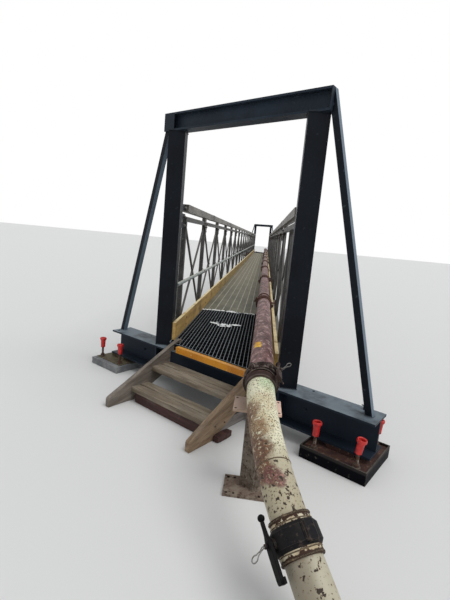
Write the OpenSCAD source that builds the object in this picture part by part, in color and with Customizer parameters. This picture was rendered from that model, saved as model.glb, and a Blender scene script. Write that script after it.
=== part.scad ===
// Industrial pipe bridge: a half-through footway between two raking portals that carries a clamped pipeline.
// Lengths are in millimetres. +Y runs along the bridge away from the near portal, +X is to the right, +Z is up.
// The portals stand skewed: their beams run along a local X that is turned from the bridge's own X.

/* [Footway] */
// Number of whole truss panels between the first and last panel joints
bays = 8; // [2:1:10]
// Length of one truss panel
bay_len = 3000; // [2000:50:3600]
// Distance from a portal's centre to the first panel joint
end_gap = 2190; // [1700:10:2800]
// Clear width between the toe boards
walk_w = 990; // [800:10:1400]
// Depth of the deck panels and gratings
deck_t = 65; // [40:1:100]
// Width of the gap between neighbouring deck panels
deck_joint = 6; // [3:1:20]
// Height of the toe boards
toe_h = 180; // [100:5:250]
// Thickness of the toe boards
toe_t = 32; // [20:1:60]
// Gap between a toe board and the truss beside it
side_gap = 23; // [5:1:60]

/* [Trusses] */
// Height of a truss from its seat to the top of its top chord
truss_h = 1325; // [1000:5:1600]
// Height of the bottom chord
bottom_chord_h = 80; // [50:1:120]
// Width of the bottom chord
bottom_chord_w = 60; // [40:1:100]
// Height of the top chord
top_chord_h = 50; // [30:1:80]
// Side of the square posts, and the width of the top chord
post_w = 50; // [30:1:80]
// Side of the crossed bracing bars
brace_bar = 22; // [14:1:36]
// Gap between the top chord and the top rail
rail_gap = 50; // [20:1:90]
// Height of the top rail
rail_h = 80; // [40:1:120]
// Width of the top rail
rail_w = 80; // [50:1:110]
// Diameter of the mid rail tube
mid_rail_d = 40; // [26:1:60]
// Height of the mid rail above the truss seat
mid_rail_z = 617; // [450:1:800]
// Height of the transoms
transom_h = 80; // [50:1:150]
// Width of the transoms
transom_w = 60; // [40:1:100]
// Gap along the bridge from the left column to the left top chord
left_lug = 350; // [200:10:500]
// Gap along the bridge from the right column to the right top chord
right_lug = 335; // [200:10:500]
// Thickness of the lug plates that tie a truss to its column
lug_t = 12; // [6:1:20]

/* [Portals] */
// Angle by which the portals are turned from square to the bridge
skew = 33; // [0:1:40]
// Clearance between each toe board and the column beside it
column_clear = 3; // [2:1:60]
// Width of a column, square to the bridge
column_w = 160; // [120:1:220]
// Depth of a column, along the bridge
column_d = 118; // [80:1:160]
// Wall of the columns
column_wall = 8; // [4:1:16]
// Clear height from the base beam to the header
clear_h = 2093; // [1800:1:2600]
// Height of the header beam
header_h = 162; // [150:1:300]
// Width of the header beam's flanges
header_w = 120; // [90:5:200]
// Length of the header beam past a column's centre, at each end
header_over = 127; // [105:1:300]
// Offset of the header's middle from the portal's centre
header_shift = -12; // [-40:1:40]
// Width of the cover plate on the header's left end
header_cover = 130; // [80:5:240]
// Length of the base beam past the header's end, at each end
base_over = 616; // [520:1:900]
// Offset of the base beam's middle from the portal's centre
base_shift = 20; // [-60:1:60]
// Height of the base beam
base_h = 264; // [200:1:320]
// Width of the base beam's flanges
base_w = 248; // [220:1:320]
// Thickness of the beams' flanges
flange_t = 16; // [8:1:24]
// Thickness of the beams' webs
web_t = 10; // [6:1:18]
// Side of the square raking braces
rake_w = 50; // [36:1:80]
// Wall of the raking braces
rake_wall = 5; // [3:1:10]
// Distance from half the base beam's length to the centre of a raking brace's foot
rake_foot = 60; // [28:1:200]
// Distance from the header's end to the centre of a raking brace's top
rake_in = 38; // [30:1:90]
// Height of the deck's edge nosing
nosing_h = 58; // [40:1:110]
// Thickness of the deck's edge nosing
nosing_t = 45; // [25:1:70]

/* [Foundation pads] */
// Length of a pad along the base beam
pad_len = 490; // [360:10:800]
// Distance by which a pad reaches past the base beam's end
pad_over = 86; // [40:1:200]
// Offset of the middle between the pads from the portal's centre
pad_shift = -36; // [-60:1:60]
// Width of a pad across the base beam
pad_w = 512; // [460:2:900]
// Height of a pad's tray
tray_h = 96; // [60:1:110]
// Wall of a pad's tray
tray_wall = 8; // [4:1:14]
// Height of the near left pad's plinth
plinth_h = 70; // [40:1:74]
// Width of the near left pad's plinth
plinth_w = 600; // [500:2:900]
// Height of the base beam's underside above the ground
beam_lift = 116; // [112:1:200]
// Distance of the anchor studs from the pad's centre, along the base beam
stud_x = 157; // [120:1:300]
// Distance of the anchor studs from the pad's centre, across the base beam
stud_y = 205; // [180:1:360]
// Diameter of the anchor studs
stud_d = 24; // [12:1:36]
// Height of the anchor studs above the tray's filling
stud_h = 148; // [110:1:220]
// Largest diameter of the stud caps
cap_d = 70; // [44:1:80]
// Height of the stud caps
cap_h = 110; // [70:1:130]

/* [Stair] */
// Clear width between the stringers
stair_w = 915; // [600:5:1000]
// Offset of the stair's centre from the portal's centre
stair_shift = -38; // [-60:1:60]
// Thickness of the stringers
stringer_t = 45; // [30:1:60]
// Depth of a stringer, square to its slope
stringer_h = 202; // [140:2:240]
// Reach of the stringers over the floor, from the front of the base beam
stringer_hook = 144; // [60:1:160]
// Slope of the stringers
stair_pitch = 26.7; // [22:0.1:34]
// Distance from the base beam's centre to the foot of the stringers
stair_run = 826; // [700:2:1000]
// Height of the lower tread's top above the ground
low_tread_z = 136; // [110:1:170]
// Height of the upper tread's top above the ground
high_tread_z = 278; // [230:1:330]
// Thickness of the treads
tread_t = 45; // [30:1:60]
// Width of a tread from front to back
tread_run = 200; // [150:5:220]

/* [Pipeline] */
// Outside diameter of the pipe
pipe_d = 168; // [110:1:220]
// Wall of the pipe
pipe_wall = 8; // [4:1:14]
// Gap between the coupling rings and the right toe board
pipe_gap = 1; // [1:1:60]
// Height of the pipe run's axis above the base beam
pipe_z = 292; // [250:1:340]
// Length of one pipe between couplings
pipe_len = 3000; // [2000:50:3200]
// Distance of the first coupling in front of the near portal
first_joint = 1130; // [1100:5:1400]
// Thickness of the coupling rings round the pipe
ring_wall = 25; // [18:1:40]
// Length of the coupling rings
ring_len = 96; // [60:1:140]
// Thickness of the raised end collars round the pipe
collar_wall = 10; // [4:1:14]
// Length of a raised end collar beyond its ring
collar_len = 34; // [16:1:60]
// Radius of the bend's centre line
bend_r = 1528; // [900:2:1900]
// Angle through which the bend turns
bend_turn = 35.3; // [20:0.1:45]
// Sideways swing of the bend's plane from straight down
bend_swing = 44; // [0:1:55]
// Angle by which the bend hangs down from the run in their shared coupling
bend_dip = 10; // [0:1:14]
// Turn of the post coupling's lever round the pipe, from the left side
post_lever_turn = 142; // [100:1:150]
// Turn of the front coupling's lever round the pipe, from the left side
front_lever_turn = 55; // [30:1:80]
// Side of the square pipe post
post_side = 100; // [60:1:130]
// Distance of the pipe post in front of the near portal
pipe_post_y = 1212; // [1150:2:1400]
// Thickness of the post's head and base plates
plate_t = 14; // [8:1:25]

/* [Hidden] */

charcoal = "#1c222b";
grey_steel = "#6f7479";
deck_grey = "#77745f";
grating_dark = "#2b2d33";
timber = "#7d7062";
red_timber = "#3d2623";
toe_yellow = "#a98f4e";
amber = "#c5851b";
rust_pipe = "#6e4f4f";
cream = "#d3cdae";
dark_cast = "#2b2729";
cap_red = "#d02a26";
salmon = "#c79a8c";
plinth_grey = "#74757a";
fill_brown = "#4c382c";
stand_rust = "#55302a";
post_brown = "#75695e";
stud_steel = "#8d8c8a";

bridge_len = bays * bay_len + 2 * end_gap;
beam_top = beam_lift + base_h;
deck_top = beam_top + deck_t;
header_z = beam_top + clear_h;
portal_top = header_z + header_h;
floor_half = walk_w / 2 + toe_t;
chord_x = floor_half + side_gap + bottom_chord_w / 2;
column_x = floor_half + column_clear + column_w / 2;
column_y = column_x * tan(skew);
column_s = column_x / cos(skew);
header_len = 2 * (column_s + header_over);
base_len = header_len + 2 * base_over;
top_chord_z = beam_top + truss_h;
rail_z = top_chord_z + rail_gap;

// Ends of the chords, measured from the near portal's centre and mirrored through the bridge's middle
left_chord_y0 = column_y + column_d / 2;
right_chord_y0 = -column_y + column_d / 2;
left_top_y0 = left_chord_y0 + left_lug;
right_top_y0 = right_chord_y0 + right_lug;

// The pipe's route: a straight run, then a bend whose plane swings sideways, then a straight tail
pipe_r = pipe_d / 2;
ring_d = pipe_d + 2 * ring_wall;
collar_d = pipe_d + 2 * collar_wall;
pipe_x = walk_w / 2 - ring_d / 2 - pipe_gap;
axis_z = beam_top + pipe_z;
coupling_gap = ring_len / 2 + collar_len;
far_joint_y = -first_joint + pipe_len * ceil((bridge_len + first_joint) / pipe_len);
run_joints = round((far_joint_y + first_joint) / pipe_len);

// The bend starts where its tilted end clears the run's end, and ends at the front joint
bend_start = pipe_r * tan(bend_dip) + 2;
bend_collar = (ring_len / 2 + collar_d / 2 * sin(bend_dip)) / cos(bend_dip) + 1;
bend_along = bend_start + bend_r * sin(bend_turn);
bend_aside = bend_r * (1 - cos(bend_turn));
tail_dir = [sin(bend_turn) * sin(bend_swing),
            -cos(bend_turn) * cos(bend_dip) + sin(bend_turn) * cos(bend_swing) * sin(bend_dip),
            -cos(bend_turn) * sin(bend_dip) - sin(bend_turn) * cos(bend_swing) * cos(bend_dip)];
bend_end = [bend_aside * sin(bend_swing),
            -bend_along * cos(bend_dip) + bend_aside * cos(bend_swing) * sin(bend_dip),
            -bend_along * sin(bend_dip) - bend_aside * cos(bend_swing) * cos(bend_dip)];
front_joint = [pipe_x, -first_joint, axis_z] + bend_end;

// The tail ends where the lowest point of its rim meets the ground
tail_len = (front_joint[2] - pipe_r * sqrt(1 - tail_dir[2] * tail_dir[2])) / -tail_dir[2];
tail_end = front_joint + tail_len * tail_dir;
near_y = tail_end[1] - pipe_r * sqrt(1 - tail_dir[1] * tail_dir[1]);
pad_x = base_len / 2 - pad_len / 2 + pad_over;
far_pad_y = bridge_len + (pad_x + pad_shift + pad_len / 2) * sin(skew) + pad_w / 2 * cos(skew);
far_y = max(far_joint_y + coupling_gap, far_pad_y);
mid_y = (near_y + far_y) / 2;

rake_x0 = header_len / 2 - rake_in;
rake_x1 = base_len / 2 - rake_foot;
rake_lean = atan((rake_x1 - rake_x0) / (clear_h + header_h));
notch_x = rake_x0 - rake_w / 2 / cos(rake_lean) - 2;
fill_z = tray_h - 18;
head_top = axis_z - ring_d / 2 - 23;
lever_play = 0.1;
seat_gap = 0.1;
lug_gap = 0.3;
spigot_step = 3;
hook_h = 36;
eps = 0.01;

module placed() {
    translate([0, -mid_y, 0]) children();
}

module at_far_end() {
    translate([0, bridge_len, 0]) rotate([0, 0, 180]) children();
}

module skewed() {
    rotate([0, 0, -skew]) children();
}

module along_y(y0, y1, d) {
    translate([0, y0, 0]) rotate([-90, 0, 0]) cylinder(h = y1 - y0, d = d, $fn = 48);
}

module beam_section(w, h) {
    translate([-w / 2, 0]) square([w, flange_t]);
    translate([-w / 2, h - flange_t]) square([w, flange_t]);
    translate([-web_t / 2, 0]) square([web_t, h]);
}

// An I-beam along local X with its underside at z = 0 and stiffeners at the given places
module i_beam(length, w, h, stiffeners, shift = 0) {
    rotate([90, 0, 90]) translate([0, 0, shift - length / 2]) linear_extrude(length) beam_section(w, h);
    for (x = stiffeners)
        translate([x - flange_t / 2, -w / 2 + 6, flange_t - eps])
            cube([flange_t, w - 12, h - 2 * flange_t + 2 * eps]);
}

module holes_down(points, d, z, depth) {
    for (p = points) translate([p[0], p[1], z - depth - 1]) cylinder(h = depth + 2, d = d, $fn = 24);
}

module base_beam() {
    difference() {
        translate([0, 0, beam_lift])
            i_beam(base_len, base_w, base_h, [-column_s, column_s], base_shift);
        holes_down([[-1400, -76], [-1020, 75], [930, 88]], 22, beam_top, flange_t);
        for (x = [-1023, 925]) translate([x, 0, beam_lift + base_h / 2])
            rotate([90, 0, 0]) cylinder(h = 4 * web_t, d = 24, center = true, $fn = 24);
    }
}

// Beam over the columns, cut away at the back of each end for the top of a raking brace
module header_beam() {
    inside = header_h - 2 * flange_t + 2 * eps;
    translate([0, 0, header_z]) {
        difference() {
            i_beam(header_len, header_w, header_h, [], header_shift);
            for (side = [-1, 1]) translate([side * (notch_x + 100), (header_w - rake_w) / 4 + 10, header_h / 2])
                cube([200, (header_w + rake_w) / 2 + 22, header_h + 2], center = true);
        }
        translate([header_shift - header_len / 2, -header_w / 2, flange_t - eps])
            cube([header_cover, flange_t / 2, inside]);
        translate([header_shift + header_len / 2 - flange_t / 2, -header_w / 2, flange_t - eps])
            cube([flange_t / 2, (header_w - rake_w) / 2 - 1, inside]);
    }
}

module column(side) {
    translate([side * column_x - column_w / 2, -side * column_y - column_d / 2, beam_top]) difference() {
        cube([column_w, column_d, clear_h]);
        translate([column_wall, column_wall, -1])
            cube([column_w - 2 * column_wall, column_d - 2 * column_wall, clear_h + 2]);
    }
}

module columns() {
    for (side = [-1, 1]) column(side);
}

module raking_brace(side) {
    bar_len = (clear_h + header_h) / cos(rake_lean) + 4 * rake_w;
    middle = (rake_x0 + rake_x1) / 2;
    intersection() {
        translate([side * middle, 0, (beam_top + portal_top) / 2]) rotate([0, -side * rake_lean, 0])
            difference() {
                cube([rake_w, rake_w, bar_len], center = true);
                cube([rake_w - 2 * rake_wall, rake_w - 2 * rake_wall, bar_len + 2], center = true);
            }
        translate([side * middle - base_len / 2, -rake_w, beam_top])
            cube([base_len, 2 * rake_w, clear_h + header_h]);
    }
}

module raking_braces() {
    for (side = [-1, 1]) raking_brace(side);
}

// Tapered plates that join each raking brace to the end of the header
module gussets() {
    lean = tan(rake_lean);
    inner = notch_x;
    gap_top = 2;
    drop = header_h - 20;
    for (side = [-1, 1]) scale([side, 1, 1])
        translate([0, flange_t / 4, portal_top]) rotate([90, 0, 0]) linear_extrude(flange_t / 2)
            polygon([[inner, 0], [inner + gap_top, 0], [inner + gap_top + lean * drop, -drop], [inner, -drop]]);
}

module pad_tray() {
    difference() {
        translate([-pad_len / 2, -pad_w / 2, 0]) cube([pad_len, pad_w, tray_h]);
        translate([-pad_len / 2 + tray_wall, -pad_w / 2 + tray_wall, tray_wall])
            cube([pad_len - 2 * tray_wall, pad_w - 2 * tray_wall, tray_h]);
    }
}

// The raised packer between a pad's filling and the base beam
module packer() {
    translate([-104, -base_w / 2 + 10, fill_z - eps]) cube([208, base_w - 20, beam_lift - fill_z + eps]);
}

module pad_fill() {
    inner_len = pad_len - 2 * tray_wall;
    inner_w = pad_w - 2 * tray_wall;
    translate([-inner_len / 2, -inner_w / 2, tray_wall]) cube([inner_len, inner_w, fill_z - tray_wall]);
    packer();
}

// A solid plinth, and the thin sole plate that lies on it inside its edges
module plinth() {
    translate([29 - pad_len / 2, -plinth_w / 2, 0]) cube([pad_len - 40, plinth_w, plinth_h]);
}

module sole_plate() {
    translate([44 - pad_len / 2, 54 - plinth_w / 2, plinth_h])
        cube([pad_len - 80, plinth_w - 108, fill_z - plinth_h]);
    packer();
}

module at_pads(sides = [-1, 1]) {
    for (side = sides) translate([side * pad_x + pad_shift, 0, 0]) children();
}

module at_studs() {
    at_pads() for (sx = [-1, 1]) for (sy = [-1, 1]) translate([sx * stud_x, sy * stud_y, fill_z]) children();
}

module anchor_stud() {
    cylinder(h = stud_h, d = stud_d, $fn = 24);
    cylinder(h = 8, d = stud_d * 2.4, $fn = 24);
    translate([0, 0, 8 - eps]) cylinder(h = stud_d * 0.8, d = stud_d * 1.9, $fn = 6);
}

// A cup-shaped cap that covers the top of a stud
module stud_cap() {
    inner = stud_d / 2 + 1;
    r = cap_d / 2;
    reach = stud_h - 45;
    translate([0, 0, reach]) rotate_extrude($fn = 32)
        polygon([[inner, 0], [r * 0.66, 0], [r * 0.76, cap_h - 26], [r, cap_h - 20], [r, cap_h],
                 [r * 0.64, cap_h], [r * 0.58, cap_h - 40], [0, cap_h - 40], [0, 45], [inner, 45]]);
}

module nosing() {
    translate([stair_shift - stair_w / 2 + 60, -base_w / 2, beam_top]) cube([stair_w - 62, nosing_t, nosing_h]);
}

// Outline of the floor between the portal and the first panel joint
module infill_outline() {
    near_edge = (-base_w / 2 + nosing_t + 4) / cos(skew);
    reach = floor_half * tan(skew);
    polygon([[-floor_half, reach + near_edge], [floor_half, -reach + near_edge],
             [floor_half, end_gap - deck_joint / 2], [-floor_half, end_gap - deck_joint / 2]]);
}

module infill_floor() {
    translate([0, 0, beam_top + seat_gap]) linear_extrude(deck_t - seat_gap) infill_outline();
}

// One sloping side board of the stair, cut upright at both ends, that hooks over the floor's edge
module stringer_outline() {
    foot_z = 82;
    slope = tan(stair_pitch);
    depth = stringer_h / cos(stair_pitch);
    heel = -stair_run + (depth - foot_z) / slope;
    front = -base_w / 2;
    seat = front + nosing_t - 3;
    top_z = deck_top + hook_h;
    brow = (top_z - foot_z) / slope - stair_run;
    crest = max(front + stringer_hook, brow + 10);
    low_z = min(foot_z - depth + (front + stair_run) * slope, beam_top - 30);
    polygon([[-stair_run, 0], [-stair_run, foot_z], [brow, top_z], [crest, top_z], [crest, deck_top + lug_gap],
             [seat, deck_top + lug_gap], [seat, beam_top], [front, beam_top], [front, low_z], [heel, 0]]);
}

module stringer(x) {
    translate([x, 0, 0]) rotate([90, 0, 90]) linear_extrude(stringer_t) stringer_outline();
}

module stringers() {
    stringer(stair_shift - stair_w / 2 - stringer_t);
    stringer(stair_shift + stair_w / 2);
}

// Each tread is a pair of boards with a narrow gap between them
module tread(front, depth, top) {
    board = (depth - 4) / 2;
    for (i = [0, 1])
        translate([stair_shift - stair_w / 2, front + i * (board + 4), top - tread_t])
            cube([stair_w, board, tread_t]);
}

module treads() {
    back = -base_w / 2 - 5;
    tread(back - 230 - 234, tread_run, low_tread_z);
    tread(back - 230, 228, high_tread_z);
}

// The riser board under the lower tread, a packing board inside the right stringer and a block outside it
module stair_timbers() {
    board = low_tread_z - tread_t;
    left = stair_shift - stair_w / 2;
    right = stair_shift + stair_w / 2;
    translate([left + 50, -base_w / 2 - 461, 0]) cube([stair_w - 100, 35, board]);
    translate([right - 30, -base_w / 2 - 410, 0]) cube([30, 300, board]);
    translate([right + stringer_t, -base_w / 2 - 446, 0]) cube([58, 165, 54]);
}

// One side frame: chords, posts and crossed bars, fused where they meet
module truss(side) {
    bottom_y0 = side < 0 ? left_chord_y0 : right_chord_y0;
    bottom_y1 = bridge_len - (side < 0 ? right_chord_y0 : left_chord_y0);
    top_y0 = side < 0 ? left_top_y0 : right_top_y0;
    top_y1 = bridge_len - (side < 0 ? right_top_y0 : left_top_y0);
    low = beam_top + bottom_chord_h;
    high = top_chord_z - top_chord_h;
    stations = concat([top_y0 + post_w / 2],
                      side > 0 ? [end_gap - bay_len / 2] : [],
                      [for (i = [0:2 * bays]) end_gap + i * bay_len / 2],
                      side < 0 ? [bridge_len - end_gap + bay_len / 2] : [],
                      [top_y1 - post_w / 2]);
    translate([side * chord_x - bottom_chord_w / 2, bottom_y0, beam_top])
        cube([bottom_chord_w, bottom_y1 - bottom_y0, bottom_chord_h]);
    translate([side * chord_x - post_w / 2, top_y0, high])
        cube([post_w, top_y1 - top_y0, top_chord_h]);
    for (y = stations)
        translate([side * chord_x - post_w / 2, y - post_w / 2, low - eps])
            cube([post_w, post_w, high - low + 2 * eps]);
    for (i = [0:len(stations) - 2]) crossed_bars(side, stations[i], stations[i + 1], low, high);
}

module crossed_bars(side, y0, y1, z0, z1) {
    run = y1 - y0;
    rise = z1 - z0;
    bar_len = sqrt(run * run + rise * rise);
    for (way = [-1, 1])
        translate([side * chord_x, (y0 + y1) / 2, (z0 + z1) / 2]) rotate([way * atan(rise / run), 0, 0])
            cube([brace_bar, bar_len, brace_bar], center = true);
}

// The top rail with the blocks that hold it above the top chord
module top_rail(side) {
    top_y0 = side < 0 ? left_top_y0 : right_top_y0;
    top_y1 = bridge_len - (side < 0 ? right_top_y0 : left_top_y0);
    translate([side * chord_x - rail_w / 2, top_y0, rail_z]) cube([rail_w, top_y1 - top_y0, rail_h]);
    for (i = [0:2 * bays])
        translate([side * chord_x - post_w / 2, end_gap + i * bay_len / 2 - post_w, top_chord_z])
            cube([post_w, 2 * post_w, rail_gap + eps]);
}

module rail_tube() {
    translate([-(chord_x - post_w / 2 - mid_rail_d / 2), 0, beam_top + mid_rail_z])
        along_y(left_chord_y0, bridge_len - right_chord_y0, mid_rail_d);
}

// A plate with a bolt hole that reaches from a column's back to the end of a truss
module lug_plate(x, y0, y1, z) {
    difference() {
        translate([x - lug_t / 2, y0, z - 30]) cube([lug_t, y1 - y0, 60]);
        translate([x, y1 - 40, z]) rotate([0, 90, 0]) cylinder(h = lug_t + 2, d = 24, center = true, $fn = 24);
    }
}

module end_lugs() {
    for (side = [-1, 1]) {
        y0 = side < 0 ? left_chord_y0 : right_chord_y0;
        y1 = side < 0 ? left_top_y0 : right_top_y0;
        for (z = [rail_z + rail_h / 2, top_chord_z - 5, top_chord_z - top_chord_h - 45])
            lug_plate(side * chord_x, y0, y1 - lug_gap, z);
    }
}

module cross_beams() {
    half = chord_x + bottom_chord_w / 2;
    rows = concat([left_top_y0], [for (i = [0:2 * bays]) end_gap + i * bay_len / 2],
                  [bridge_len - left_top_y0]);
    for (y = rows) translate([-half, y - transom_w / 2, beam_top - transom_h])
        cube([2 * half, transom_w, transom_h]);
}

module floor_panels() {
    for (i = [0:bays - 1])
        translate([-floor_half, end_gap + i * bay_len + deck_joint / 2, beam_top])
            cube([2 * floor_half, bay_len - deck_joint, deck_t]);
}

// Toe boards in panel lengths, with a first piece that reaches the column
module side_boards() {
    near_start = [floor_half * tan(skew), -floor_half * tan(skew)];
    for (side = [-1, 1]) {
        first = side < 0 ? near_start[0] : near_start[1];
        last = bridge_len - (side < 0 ? near_start[1] : near_start[0]);
        cuts = concat([first], [for (i = [0:bays]) end_gap + i * bay_len], [last]);
        for (i = [0:len(cuts) - 2])
            translate([side * (walk_w / 2 + toe_t / 2) - toe_t / 2, cuts[i] + 2, deck_top])
                cube([toe_t, cuts[i + 1] - cuts[i] - 4, toe_h]);
    }
}

module tube_section() {
    difference() {
        circle(d = pipe_d, $fn = 64);
        circle(d = pipe_d - 2 * pipe_wall, $fn = 64);
    }
}

module tube_y(y0, y1) {
    translate([0, y1, 0]) rotate([90, 0, 0]) linear_extrude(y1 - y0) tube_section();
}

module revolve_y() {
    rotate([-90, 0, 0]) rotate_extrude($fn = 64) children();
}

// A clamp ring round a joint, with raised collars on both sides. Its +Y side has some play, and its -Y side
// is narrower where it holds a stepped pipe end
module coupling_ring(play = 0, narrow = 0) {
    r = ring_d / 2;
    half = ring_len / 2;
    c = collar_d / 2;
    reach = half + collar_len;
    revolve_y() polygon(concat([[pipe_r - narrow, -reach], [c, -reach], [c, -half], [r - 12, -half], [r, -half + 16],
                                [r, half - 16], [r - 12, half], [c, half], [c, reach], [pipe_r + play, reach]],
                               play + narrow > 0 ? [[pipe_r + play, 0], [pipe_r - narrow, 0]] : []));
}

// The clamp ring at the post is open enough in front for the bend to hang at an angle
module tilting_ring() {
    r = ring_d / 2;
    half = ring_len / 2;
    c = collar_d / 2;
    mouth = min(r - 6, pipe_r / cos(bend_dip) + half * tan(bend_dip) + half * half / bend_r / 2 + 0.2);
    revolve_y() polygon([[pipe_r, 0], [mouth, 0], [mouth, -half], [max(mouth + 3, r - 12), -half], [r, -half + 16],
                         [r, half - 16], [r - 12, half], [c, half], [c, half + collar_len],
                         [pipe_r, half + collar_len]]);
}

module at_run_joint(i) {
    translate([pipe_x, -first_joint + i * pipe_len, axis_z]) children();
}

// A cranked plate that reaches over the toe board from a truss post and carries the pipe
module pipe_bracket() {
    face = chord_x - post_w / 2;
    hook = walk_w / 2 - 6;
    arm_z = max(deck_top + toe_h + 8, axis_z - pipe_r);
    shelf_z = axis_z - pipe_r - 26;
    plate = 10;
    w = 70;
    difference() {
        union() {
            translate([hook - plate, -w / 2, arm_z]) cube([face - hook + plate, w, plate]);
            translate([hook - plate, -w / 2, shelf_z]) cube([plate, w, arm_z - shelf_z + plate]);
            translate([pipe_x - 50, -w / 2, shelf_z]) cube([hook - pipe_x + 50, w, 34]);
            translate([face - plate, -w / 2, arm_z - 40]) cube([plate, w, 90]);
        }
        translate([pipe_x, -w, axis_z]) rotate([-90, 0, 0]) cylinder(h = 2 * w, d = pipe_d + 0.6, $fn = 64);
    }
}

// Places children at the first coupling with local -Y along the bend's start and local -Z into its turn
module in_bend_plane() {
    translate([pipe_x, -first_joint, axis_z]) rotate([bend_dip, 0, 0]) rotate([0, -bend_swing, 0]) children();
}

// Places children at the front joint, with local -Y along the tail
module at_front_joint() {
    in_bend_plane() translate([0, -bend_along, -bend_aside]) rotate([bend_turn, 0, 0]) children();
}

module bent_pipe() {
    c = collar_d / 2;
    in_bend_plane() {
        translate([0, -bend_start, -bend_r]) rotate([0, -90, 0]) rotate([180, 0, 0])
            rotate_extrude(angle = bend_turn, $fn = 96) translate([bend_r, 0]) tube_section();
        revolve_y() polygon([[pipe_r - 3, -bend_collar - collar_len + 8], [c, -bend_collar - collar_len + 8],
                             [c, -bend_collar], [pipe_r - 3, -bend_collar]]);
    }
}

// The fixed trunnion on a clamp ring's side that its lever turns on
module trunnion() {
    rotate([0, -90, 0]) {
        translate([0, 0, pipe_r + 4]) cylinder(h = ring_d / 2 - pipe_r + 3, d = 44, $fn = 32);
        translate([0, 0, pipe_r + 4]) cylinder(h = ring_d / 2 - pipe_r + 38, d = 20, $fn = 32);
    }
}

// A hand lever with a round knob at one end and a hook at the other, bored to turn on a trunnion
module coupling_lever(bore, handle = 122, blade = 124) {
    near_face = ring_d / 2 + 8;
    translate([-near_face, 0, 0]) rotate([0, -90, 0]) difference() {
        union() {
            cylinder(h = 22, d = 42, $fn = 32);
            translate([-20, -blade, 3]) cube([40, blade - 14, 16]);
            translate([-15, -blade, -9]) cube([30, 24, 20]);
            translate([-9, 14, 3]) cube([18, handle - 22, 15]);
            translate([0, handle, 10]) sphere(d = 32, $fn = 32);
        }
        translate([0, 0, -1]) cylinder(h = 24, d = bore, $fn = 32);
    }
}

// A sprung wire clip: a straight pin and a ring
module lever_clip() {
    tip = ring_d / 2 + 42;
    translate([-tip, 0, 0]) rotate([0, -90, 0]) cylinder(h = 36, d = 5, $fn = 16);
    translate([-tip - 49, 0, 0]) rotate([90, 0, 0]) rotate_extrude($fn = 32)
        translate([16, 0]) circle(d = 5, $fn = 16);
}

module base_plate() {
    translate([pipe_x - 20 - 145, -pipe_post_y - 130, 0]) difference() {
        cube([290, 205, plate_t]);
        for (x = [22, 66, 224, 268]) for (y = [24, 181])
            translate([x, y, -1]) cylinder(h = plate_t + 2, d = 18, $fn = 24);
    }
}

// The head plate, with two saddle ribs under the coupling ring
module head_plate() {
    translate([pipe_x, -pipe_post_y, 0]) difference() {
        union() {
            translate([-152, -85, head_top - plate_t]) cube([290, 200, plate_t]);
            for (x = [-60, 48]) translate([x, 32, head_top - eps]) cube([12, 60, 46]);
        }
        for (x = [-136, 122]) for (y = [-61, 91])
            translate([x, y, head_top - plate_t - 1]) cylinder(h = plate_t + 2, d = 16, $fn = 24);
        translate([0, -200, axis_z]) rotate([-90, 0, 0])
            cylinder(h = 400, d = ring_d + 0.6, $fn = 64);
    }
}

module square_post() {
    translate([pipe_x, -pipe_post_y, plate_t]) skewed() difference() {
        translate([-post_side / 2, -post_side / 2, 0]) cube([post_side, post_side, head_top - 2 * plate_t]);
        translate([6 - post_side / 2, 6 - post_side / 2, -1]) cube([post_side - 12, post_side - 12, head_top]);
    }
}

module near_base_beam() { placed() color(charcoal) skewed() base_beam(); }
module near_header() { placed() color(charcoal) skewed() header_beam(); }
module near_columns() { placed() color(charcoal) columns(); }
module near_braces() { placed() color(charcoal) skewed() raking_braces(); }
module near_gussets() { placed() color(charcoal) skewed() gussets(); }
module near_pad_left() { placed() color(plinth_grey) skewed() at_pads([-1]) plinth(); }
module near_pad_right() { placed() color(charcoal) skewed() at_pads([1]) pad_tray(); }
module near_pad_fill() {
    placed() color(fill_brown) skewed() {
        at_pads([-1]) sole_plate();
        at_pads([1]) pad_fill();
    }
}
module near_anchor_studs() { placed() color(stud_steel) skewed() at_studs() anchor_stud(); }
module near_stud_caps() { placed() color(cap_red) skewed() at_studs() stud_cap(); }
module near_nosing() { placed() color(amber) skewed() nosing(); }
module near_grating() { placed() color(grating_dark) infill_floor(); }
module near_stringers() { placed() color(timber) skewed() stringers(); }
module near_treads() { placed() color(timber) skewed() treads(); }
module near_stair_timbers() { placed() color(red_timber) skewed() stair_timbers(); }
module far_base_beam() { placed() color(charcoal) at_far_end() skewed() base_beam(); }
module far_header() { placed() color(charcoal) at_far_end() skewed() header_beam(); }
module far_columns() { placed() color(charcoal) at_far_end() columns(); }
module far_braces() { placed() color(charcoal) at_far_end() skewed() raking_braces(); }
module far_gussets() { placed() color(charcoal) at_far_end() skewed() gussets(); }
module far_pads() { placed() color(charcoal) at_far_end() skewed() at_pads() pad_tray(); }
module far_pad_fill() { placed() color(fill_brown) at_far_end() skewed() at_pads() pad_fill(); }
module far_anchor_studs() { placed() color(stud_steel) at_far_end() skewed() at_studs() anchor_stud(); }
module far_stud_caps() { placed() color(cap_red) at_far_end() skewed() at_studs() stud_cap(); }
module far_nosing() { placed() color(amber) at_far_end() skewed() nosing(); }
module far_grating() { placed() color(grating_dark) at_far_end() infill_floor(); }
module far_stringers() { placed() color(timber) at_far_end() skewed() stringers(); }
module far_treads() { placed() color(timber) at_far_end() skewed() treads(); }
module far_stair_timbers() { placed() color(red_timber) at_far_end() skewed() stair_timbers(); }
module truss_left() { placed() color(grey_steel) truss(-1); }
module truss_right() { placed() color(grey_steel) truss(1); }
module top_rails() { placed() color(grey_steel) for (side = [-1, 1]) top_rail(side); }
module mid_rail() { placed() color(grey_steel) rail_tube(); }
module truss_lugs() {
    placed() color(charcoal) {
        end_lugs();
        at_far_end() end_lugs();
    }
}
module transoms() { placed() color(charcoal) cross_beams(); }
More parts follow.
